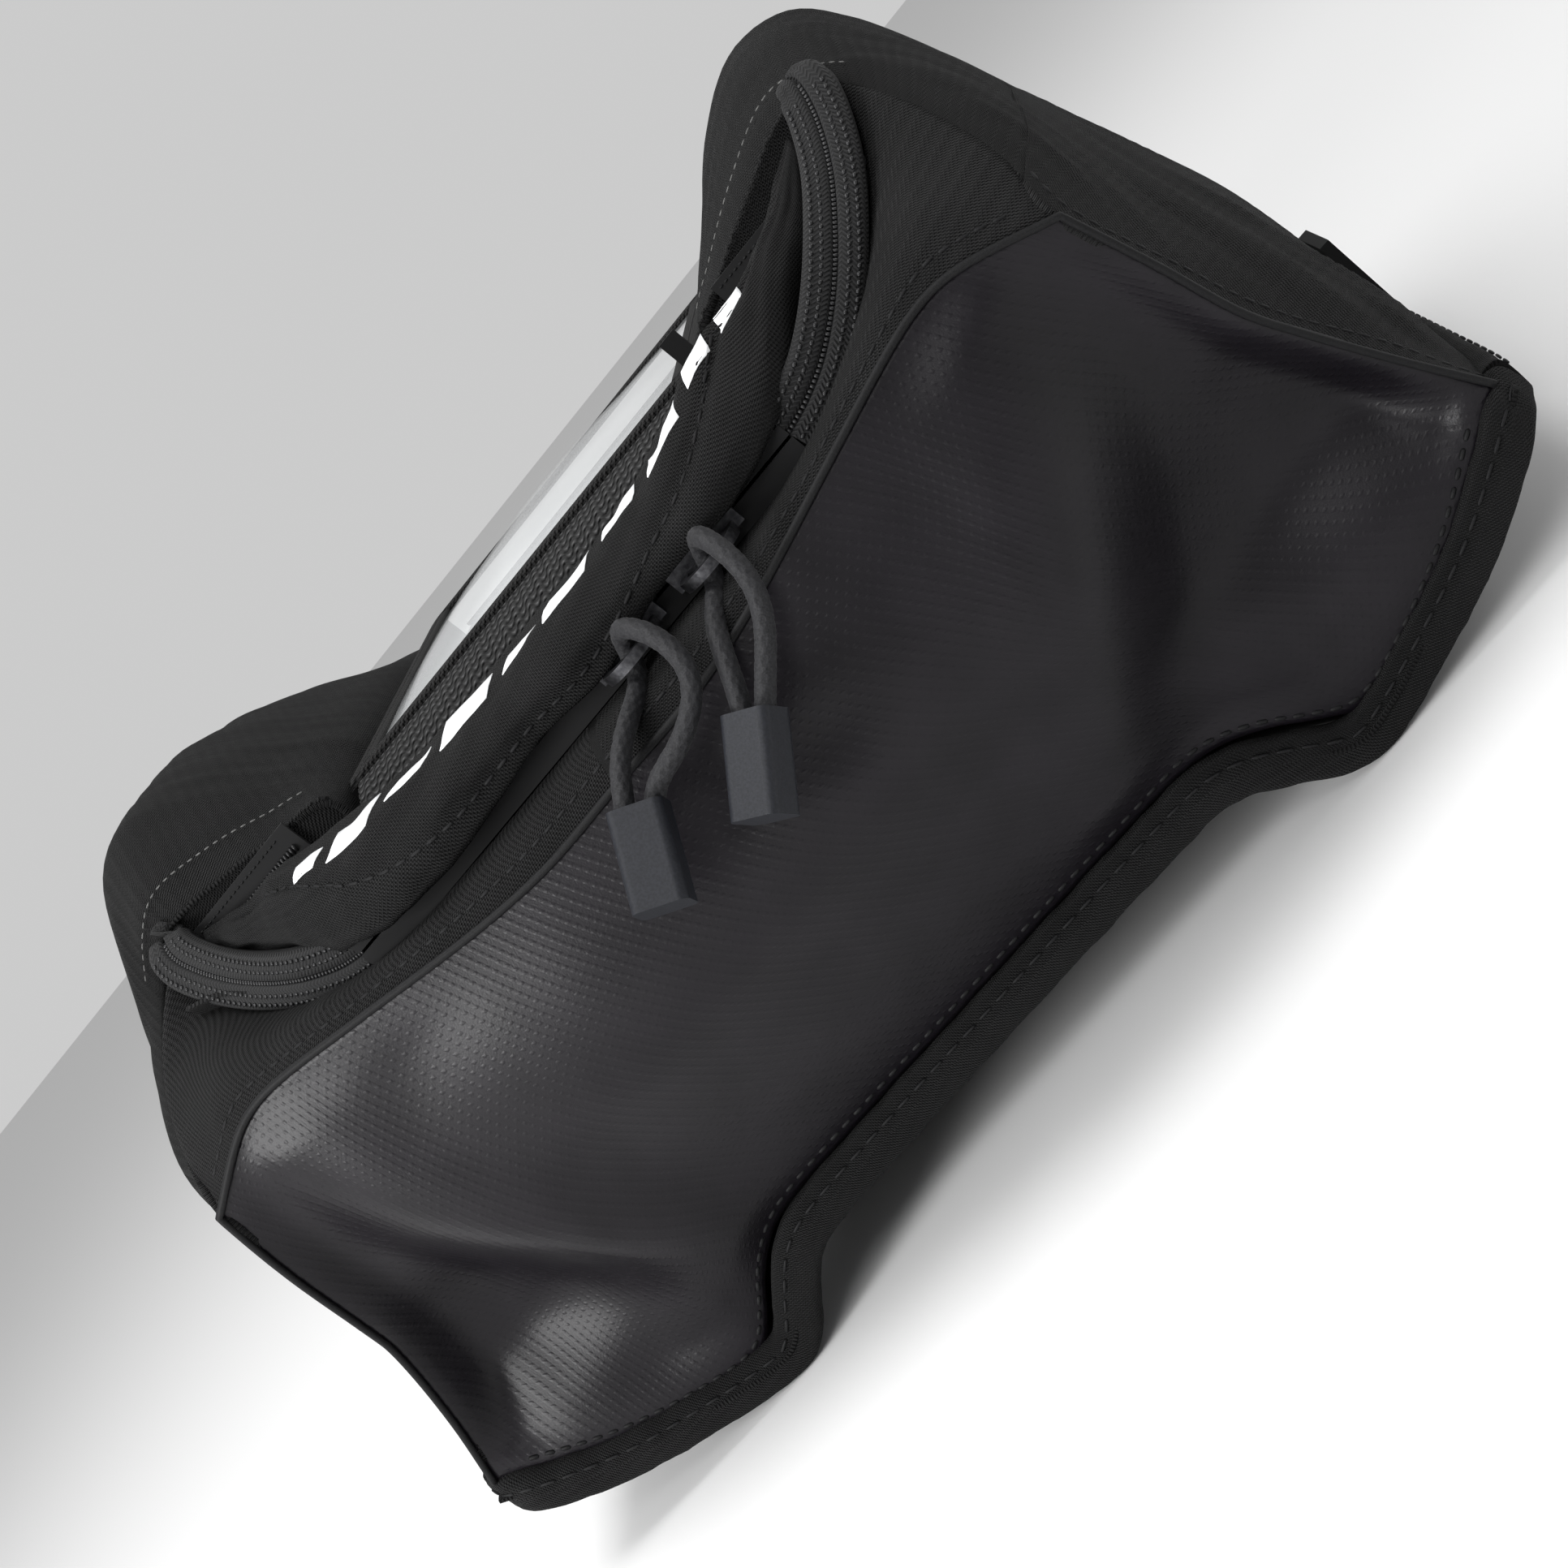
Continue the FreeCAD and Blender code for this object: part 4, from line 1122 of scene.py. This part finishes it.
loops = [loop_through([(x, y, z) for y, z in loop], lip_round) for x, loop in lip_stations]
lines = [smooth_through([loop[k] for loop in loops], lip_cells) for k in range(lip_round)]
verts = []
for i in range(lip_cells + 1):
    hub = sum((lines[k][i] for k in range(lip_round)), Vector()) / lip_round
    for k in range(lip_round):
        p = lines[k][i]
        out = (p - hub).normalized()
        share = k / lip_round
        ripple = 2.2 * math.sin(p.x / 9.5 + 1.2 * math.sin(p.x / 17))
        ripple *= math.exp(-((share - 0.30) / 0.12) ** 2)
        fold = (1.6 * noise.noise(Vector((p.x / 15, p.y / 12, p.z / 11 + 31)))
                + 0.6 * noise.noise(Vector((p.x / 5, p.y / 9, p.z / 9 + 37))))
        end = min(1.0, (i + 1) / 10, (lip_cells - i + 1) / 10)
        fold += 1.3 * crease(p.x, k * 2.5, 0, 17.0, 0.35, 34, 8) * max(0.0, math.sin(math.pi * k / lip_round))
        fold -= 1.7 * math.exp(-((share - stitch_share(p.x)) / 0.02) ** 2)
        verts.append((p + out * (ripple * 0.5 + fold) * end) * mm)
lip = built("lid_lip_cloth", verts, ring_faces(lip_cells + 1, lip_round))
data = lip.data
uv = data.uv_layers.new(name="UVMap").data
girth = 108.0
for face in data.polygons:
    last = max(data.loops[k].vertex_index % lip_round for k in face.loop_indices) == lip_round - 1
    wrap = last and len(face.vertices) == 4
    for k in face.loop_indices:
        v = data.loops[k].vertex_index
        g = v % lip_round
        if wrap and g == 0:
            g = lip_round
        uv[k].uv = (data.vertices[v].co.x, g * girth / lip_round * mm)
turn_out(lip)
finish_new(lip, "lid", "bag_fabric", bag_cloth, "lid_lip")
lip_grid = [[Vector(verts[i * lip_round + k]) / mm for i in range(lip_cells + 1)] for k in range(lip_round)]


def lip_out(i, normal, place):
    """The direction along a normal that points out of the lip at one of its rings."""
    hub = sum((line[i] for line in lip_grid), Vector()) / lip_round
    return normal if normal.dot(place - hub) > 0 else -normal


def lip_line(first, last):
    """The line of the lip's topstitching, with its outward directions."""
    places = []
    normals = []
    for i in range(first, last):
        k = stitch_share(lip_grid[0][i].x) * lip_round
        a, b, t = int(k) % lip_round, (int(k) + 1) % lip_round, k - int(k)
        p = lip_grid[a][i].lerp(lip_grid[b][i], t)
        way = lip_grid[a][min(i + 1, lip_cells)] - lip_grid[a][max(i - 1, 0)]
        places.append(p)
        normals.append(lip_out(i, way.cross(lip_grid[b][i] - lip_grid[a][i]).normalized(), p))
    return places, normals


places, normals = lip_line(16, 135)
stitch_set("lip_topstitches", places, normals, 4.4, 3.0, 0.95, thread_black, body="lid")

reflective, shader = grained("reflective_print", (0.82, 0.83, 0.84), 0.32, (700, 2, 0.2, 0.0002),
                             (0.72, 0.73, 0.74), (0.92, 0.93, 0.94))
verts = []
faces = []
long_bar, short_bar = (0.435, 0.515), (0.450, 0.500)
bars = [(-66, 9, short_bar), (-53, 12, long_bar), (-36, 9, short_bar), (-22, 13, long_bar),
        (-4, 8, short_bar), (9, 12, long_bar), (27, 9, short_bar), (41, 12, long_bar),
        (58, 8, short_bar), (70, 9, long_bar)]
lip_left, lip_right = lip_stations[0][0], lip_stations[-1][0]
cell = (lip_right - lip_left) / lip_cells
steps, bar_rows, bar_slant = 8, 4, 2.4
for bar_x, bar_long, (low_share, high_share) in bars:
    first = (bar_x - lip_left) / cell
    base = len(verts)
    for r in range(bar_rows + 1):
        share = low_share + (high_share - low_share) * r / bar_rows
        k = share * lip_round
        a, t = int(k), k - int(k)
        for q in range(steps + 1):
            i = first + (bar_long * q / steps + bar_slant * r / bar_rows) / cell
            j, w = int(i), i - int(i)
            here = lip_grid[a][j].lerp(lip_grid[a + 1][j], t)
            p = here.lerp(lip_grid[a][j + 1].lerp(lip_grid[a + 1][j + 1], t), w)
            way = lip_grid[a][j + 1] - lip_grid[a][j]
            n = lip_out(j, way.cross(lip_grid[a + 1][j] - lip_grid[a][j]).normalized(), p)
            verts.append((p + n * 0.25) * mm)
    for r in range(bar_rows):
        for q in range(steps):
            a = base + r * (steps + 1) + q
            faces.append((a, a + 1, a + steps + 2, a + steps + 1))
bars_piece = built("lip_reflective_bars", verts, faces)
facing(bars_piece, (0, -0.3, 1))
thicken(bars_piece, 0.2 * mm)
finish_new(bars_piece, "lid", "bag_fabric", reflective)


# Pod fronts: the front end of each pod is closed by a woven cloth, with a coil zip across it. The
# cloth folds forwards below the zip and is sewn in under the end of the main zip.
pod_front_lines = [
    [(68, -68.2, 168.5), (68, -67.6, 166), (68, -67.6, 162), (67.8, -68.5, 158), (67.5, -72, 155),
     (67, -78, 153), (66.5, -84, 151.8), (66, -90, 151)],
    [(84, -68.2, 175.5), (84, -67.6, 172), (84, -67.6, 162), (84, -68.8, 157.6), (84.5, -75, 155),
     (85.5, -84, 153), (86.5, -94, 152), (87.5, -104, 151.5)],
    [(100, -68.2, 180.5), (100, -67.6, 175), (100, -67.6, 163), (100, -69, 157.6), (100.5, -76, 156),
     (101.5, -84, 155.5), (102.5, -91, 155.5), (103, -97, 156)],
    [(112, -68.2, 183), (112, -67.6, 177), (112, -67.6, 164), (112, -69, 157.6), (112.5, -74, 156.5),
     (113, -79, 157), (113.5, -84, 159), (114, -88, 162)],
    [(119.5, -68.5, 184), (120, -67.6, 178), (121, -67.6, 165), (122, -69, 158), (122.5, -73, 157.5),
     (123, -77, 158.5), (123.5, -80, 161), (124, -82.5, 165)],
]
metal, shader = grained("dark_plated_metal", (0.035, 0.035, 0.038), 0.34, (900, 3, 0.2, 0.0001),
                        (0.025, 0.025, 0.028), (0.060, 0.060, 0.064))
shader.inputs["Metallic"].default_value = 0.85
front_down, front_across = 40, 60
for side, sign in (("right", 1), ("left", -1)):
    edge = weave_rows[side]
    lines = [smooth_through(line, front_down) for line in pod_front_lines]
    rows = []
    for j in range(front_down + 1):
        row = smooth_through([line[j] for line in lines], front_across)
        rows.append([Vector((sign * p.x, p.y, p.z)) for p in row])
    seam = [row[0] for row in edge[deck_step:]]
    for i in range(front_across + 1):
        x = rows[0][i].x
        nearest = min(seam, key=lambda p: abs(p.x - x) + (0 if p.z > 160 else 50))
        shift = nearest.z - rows[0][i].z
        for j in range(14):
            rows[j][i].z += shift * (1 - j / 14) ** 2
            rows[j][i].y += (nearest.y - rows[0][i].y) * (1 - j / 14) ** 2 if j else 0
        for j in range(20, front_down + 1):
            rows[j][i].z += 0.7 * math.sin(i / 2.1 + j / 9) * math.sin(math.pi * (j - 20) / 20) ** 2
    front = cloth_piece("pod_front_" + side + "_cloth", rows, (0, -1, 0.2), 1.0, "bag", "bag_fabric",
                        bag_cloth)
    dress("pod_zip_" + side, zip_cloth)
    dress("pod_slider_" + side, metal)
    low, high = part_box("pod_zip_" + side)
    count = int((high[0] - low[0]) / mm / coil_pitch)
    centre = (low[2] + high[2]) / 2 / mm
    start = low[0] / mm + 1
    spots = [Vector((start + coil_pitch * k, low[1] / mm, centre)) for k in range(count - 1)]
    stitch_set("pod_zip_" + side + "_coil", spots, [Vector((0, -1, 0))] * len(spots), coil_pitch, 0.75, 2.4,
               coil_plastic, slot="zip_coil")
    for k, shift in enumerate((-4.4, 4.4)):
        spots = [Vector((start + 1.6 * q, low[1] / mm, centre + shift))
                 for q in range(int(count * 0.66))]
        stitch_set("pod_zip_" + side + "_stitch_row_" + str(k + 1), spots, [Vector((0, -1, 0))] * len(spots),
                   1.6, 1.0, 0.6, thread_black, slot="zip_tape")
    light_seam = [row[5] for row in edge[deck_step + 19:-8]]
    normals = []
    for k, row in enumerate(edge[deck_step + 19:-8]):
        way = edge[deck_step + 20 + k][5] - edge[deck_step + 18 + k][5]
        n = way.cross(row[6] - row[4]).normalized()
        normals.append(n if n.z > 0 else -n)
    stitch_set("pod_" + side + "_light_seam", [p + n * 0.9 for p, n in zip(light_seam, normals)], normals,
               2.6, 1.5, 0.42, thread_grey)


# Lid: cloth over a stiff board, with the map window on top. A strip of coarse knitted mesh closes
# the window's pocket in front, and gathered nylon closes its sides. The frame is a bound edge.
lid_down, lid_across = 60, 80
lid_half, lid_front, lid_back = 66.5, -90, 122
lid_top = 156.4
rows = []
for j in range(lid_down + 1):
    y = lid_front + (lid_back - lid_front) * j / lid_down
    row = []
    for i in range(lid_across + 1):
        x = -lid_half + 2 * lid_half * i / lid_across
        edge_fall = 3.4 * max(0.0, (abs(x) - 60) / 6.5) ** 2 + 2.6 * max(0.0, (y - 112) / 10) ** 2
        z = lid_top - edge_fall + 0.35 * noise.noise(Vector((x / 14, y / 11, 3.0)))
        row.append(Vector((x, y, z)))
    rows.append(row)
lid_cloth = cloth_piece("lid_top_cloth", rows, (0, 0, 1), 1.0, "lid", "bag_fabric", bag_cloth)
dress("lid_board", bag_cloth)

knit, tree, shader = new_material("coarse_knit", (0.006, 0.006, 0.0065), 0.6, specular=0.3)
along, over, spot = surface_place(tree)
column = waves(tree, along, 4.2)
course = calculated(tree, "SINE", plus(tree, times(tree, over, 2 * math.pi / 3.0), times(tree, column, 1.2)))
loop = times(tree, column, course)
bumped(tree, shader, loop, 1.0, 0.0026)
# Painted shade and highlight: the colour follows the knitted loops, near black in the hollows and much
# lighter on the raised loops.
varied_colour(tree, shader, loop, (0.0006, 0.0006, 0.0007), (0.075, 0.075, 0.076), (-0.1, 0.9))
nylon, shader = grained("gathered_nylon", (0.008, 0.008, 0.0085), 0.45, (260, 5, 0.7, 0.0009),
                        (0.004, 0.004, 0.0045), (0.016, 0.016, 0.017))

strip_down, strip_across = 40, 120
strip_half, strip_front, strip_deep = 61, -86, 24
rows = []
for j in range(strip_down + 1):
    v = j / strip_down
    row = []
    for i in range(strip_across + 1):
        x = -strip_half + 2 * strip_half * i / strip_across
        y = strip_front + strip_deep * v + 1.2 * noise.noise(Vector((x / 20, v, 5.0)))
        z = 157.2 + 8.4 * math.sin(v * math.pi / 2) ** 0.8
        pucker = 0.55 * math.sin(x / 1.9 + 1.5 * math.sin(x / 11))
        pucker *= math.sin(math.pi * min(1, v * 1.6)) ** 1.5
        row.append(Vector((x, y, z + pucker * 0.5)))
    rows.append(row)
strip = cloth_piece("mesh_strip_knit", rows, (0, -0.4, 1), 1.1, "lid", "mesh", knit, "mesh_strip")
gather_down, gather_along = 24, 200
gather_front, gather_long = -64, 150
for side, sign in (("right", 1), ("left", -1)):
    rows = []
    for j in range(gather_down + 1):
        v = j / gather_down
        row = []
        for i in range(gather_along + 1):
            y = gather_front + gather_long * i / gather_along
            gather = math.sin(i * 0.9 + 1.7 * math.sin(i / 7)) * math.sin(math.pi * v)
            x = sign * (65.2 - 5.0 * v + 0.7 * gather)
            z = 156.0 + 9.2 * v + 0.5 * gather
            row.append(Vector((x, y, z)))
        rows.append(row)
    gather_cloth = cloth_piece("gather_" + side + "_nylon", rows, (sign, 0, 0.3), 0.6, "lid", "bag_fabric",
                               nylon, "gather_" + side)
    dress("tab_" + side, webbing)
    dress("strap_tab_" + side, webbing)
dress("window_frame", bag_cloth)

# The film is clear. Its pale whitish base colour is painted reflection, and its alpha lets the dark cloth
# beneath show through.
clear, shader = grained("clear_film_painted_reflection", (0.80, 0.82, 0.83), 0.07, (18, 1, 0.12, 0.002),
                        (0.70, 0.72, 0.73), (0.88, 0.90, 0.91))
shader.inputs["Alpha"].default_value = 0.36
film_cells = 80
low, high = [[c / mm for c in corner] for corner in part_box("window_film")]
frame_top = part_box("window_frame")[1][2] / mm
film_half, film_front, film_back = 59.6, -61, 87
rows = []
for j in range(film_cells + 1):
    v = j / film_cells
    row = []
    for i in range(film_cells + 1):
        u = i / film_cells
        x = -film_half + 2 * film_half * u
        y = film_front + (film_back - film_front) * v
        swell = (math.sin(math.pi * u) ** 0.8) * (math.sin(math.pi * v) ** 0.7)
        wave = (noise.noise(Vector((x / 45, y / 50, 2.2))) * 1.2
                + 0.6 * noise.noise(Vector((x / 17, y / 60, 6.0))))
        row.append(Vector((x, y, frame_top + 0.5 + (high[2] - low[2] - 1.6) * swell + wave * swell)))
    rows.append(row)
film = cloth_piece("window_film_clear", rows, (0, 0, 1), 0.5, "lid", "window_film", clear, "window_film")


# Window binding: a woven tape folded over the film's edge all round the window, and sewn through
# film and frame with one row of black stitches.
binding = []
corners = [(-60, -61.5), (60, -61.5), (60, 87), (-60, 87)]
for (ax, ay), (bx, by) in zip(corners, corners[1:] + corners[:1]):
    steps = int(math.hypot(bx - ax, by - ay) / 2)
    for k in range(steps):
        t = k / steps
        binding.append(Vector((ax + (bx - ax) * t, ay + (by - ay) * t, frame_top + 1.0)))
binding.append(binding[0].copy())
frames = []
for i, p in enumerate(binding):
    way = (binding[(i + 1) % (len(binding) - 1)] - binding[i - 1 if i else -2]).normalized()
    out = way.cross(Vector((0, 0, 1))).normalized()
    frames.append((out, Vector((0, 0, 1))))
tape_section = [(-4.4, -0.9), (-4.4, 0.5), (-3.6, 1.0), (3.6, 1.0), (4.4, 0.5), (4.4, -0.9)]
edge_tape = swept("window_binding", binding, frames, tape_section, closed_ends=False)
finish_new(edge_tape, "lid", "webbing", webbing)
stitch_set("window_binding_stitches", [p + Vector((0, 0, 1.0)) for p in binding[:-1]],
           [Vector((0, 0, 1))] * (len(binding) - 1), 3.0, 2.0, 0.5, thread_black, body="lid")


# Sliders, bails and cord ends. The sliders and their wire bails are dark plated metal. Each cord
# ends in a soft moulded grip with a separate cap.
moulded, shader = grained("moulded_plastic", (0.008, 0.009, 0.012), 0.5, (1800, 3, 0.35, 0.0001),
                          (0.006, 0.0068, 0.0092), (0.011, 0.012, 0.0158), 0.25)
for side in ("left", "right"):
    dress("slider_" + side, metal)
    dress("bail_" + side, metal)
    dress("cord_end_" + side, moulded)
    dress("cord_cap_" + side, moulded)


# Underside: a non-slip rubber sheet sewn in round the saddle, with a stiff board laid inside it.
rubber, tree, shader = new_material("base_rubber_sheet", (0.012, 0.012, 0.012), 0.7)
along, over, spot = surface_place(tree)
nub = times(tree, waves(tree, along, 3), waves(tree, over, 3))
bumped(tree, shader, nub, 0.8, 0.0005)
# Painted shade and highlight: the colour follows the nubs, darker between them and lighter on their tops.
varied_colour(tree, shader, nub, (0.009, 0.009, 0.009), (0.022, 0.022, 0.0215), (-0.5, 0.8))
base = dress("base_sheet", rubber)
low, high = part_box("base_sheet")
hem_line = hem_runs["front"][0]
liner, shader = grained("grey_board", (0.10, 0.10, 0.10), 0.7, (300, 4, 0.3, 0.0003),
                        (0.07, 0.07, 0.07), (0.14, 0.14, 0.14))
dress("base_board", liner)

seam_rows = 8
rows = []
for j in range(seam_rows + 1):
    rise = 0.6 * math.sin(math.pi * j / seam_rows)
    rows.append([Vector((p.x, -102 + 2.4 * j, p.z + 1.2 + rise)) for p in hem_line])
base_seam = cloth_piece("base_front_seam_allowance", rows, (0, 0, 1), 1.0, "bag", "hem_fabric", hem_cloth)


# Rear closing: the end of each pod is turned in and sewn to the rear panel, and a strip of cloth
# across the back of the lid is its hinge.
panel_top = rear_rows[0]
for side in ("right", "left"):
    pod_end = [row[-1] for row in weave_rows[side][deck_step:] if abs(row[-1].x) < 130]
    rows = [[] for _ in range(seam_rows + 1)]
    for p in pod_end:
        foot = min(panel_top, key=lambda q: abs(q.x - p.x))
        foot = Vector((p.x, foot.y, foot.z - 0.8))
        for j in range(seam_rows + 1):
            t = j / seam_rows
            q = p.lerp(foot, t)
            rows[j].append(q + Vector((0, 0.4 + 1.2 * math.sin(math.pi * t), 0.3 * (1 - t))))
    pod_back = cloth_piece("pod_back_" + side + "_cloth", rows, (0, 1, 0.2), 1.0, "bag", "bag_fabric",
                           bag_cloth)
back = panel_top[len(panel_top) // 2]
hinge_profile = smooth_through([(0, back.y + 1.6, back.z - 3), (0, back.y + 2.0, back.z), (0, 125.2, 152.6),
                                (0, 123.4, 155.6), (0, 119, 157.3)], 16)
hinge_across, hinge_half = 60, 66
rows = []
for p in hinge_profile:
    rows.append([Vector((-hinge_half + 2 * hinge_half * i / hinge_across,
                         p.y + 0.25 * noise.noise(Vector((i / 5, p.z / 3, 4.0))), p.z))
                 for i in range(hinge_across + 1)])
hinge_cloth = sheet_mesh("lid_hinge_cloth", rows)
facing(hinge_cloth, (0, 1, 0.5))
thicken(hinge_cloth, 0.8 * mm)
hinge_cloth.data.materials.append(bag_cloth)
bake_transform(hinge_cloth)


# Floor and light: a plain pale floor, one broad soft light above, one low on the left, and weaker
# ones in front and on the right.
bpy.ops.mesh.primitive_plane_add(size=8, location=(0, 0, cad_low[2] - 0.0005))
floor = bpy.context.object
floor.name = "floor"
floor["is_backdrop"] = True
paper, tree, shader = new_material("pale_paper", (0.66, 0.66, 0.66), 0.9)
floor.data.materials.append(paper)
floor.select_set(False)
world = bpy.data.worlds.new("studio")
bpy.context.scene.world = world
world.use_nodes = True
world.node_tree.nodes["Background"].inputs["Color"].default_value = (1, 1, 1, 1)
world.node_tree.nodes["Background"].inputs["Strength"].default_value = 0.60
bpy.context.scene.view_settings.view_transform = "Standard"


def soft_light(name, place, aim, size, power):
    """A broad soft light that points at a place on the bag."""
    bpy.ops.object.light_add(type="AREA", location=place)
    light = bpy.context.object
    light.name = name
    light.data.shape = "RECTANGLE"
    light.data.size = size[0]
    light.data.size_y = size[1]
    light.data.energy = power
    light.rotation_euler = (Vector(aim) - Vector(place)).to_track_quat("-Z", "Y").to_euler()
    light.select_set(False)


soft_light("overhead_light", (-0.1, -0.25, 1.2), (0, 0, 0.1), (0.9, 0.6), 12)
soft_light("left_light", (-0.84, -0.80, 0.42), (-0.05, -0.08, 0.07), (0.5, 0.5), 16)
soft_light("front_light", (0.15, -1.15, 0.85), (0.05, -0.08, 0.07), (0.4, 0.3), 3)
soft_light("right_light", (1.25, 0.25, 0.6), (0, 0, 0.1), (0.6, 0.6), 5)


low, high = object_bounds()
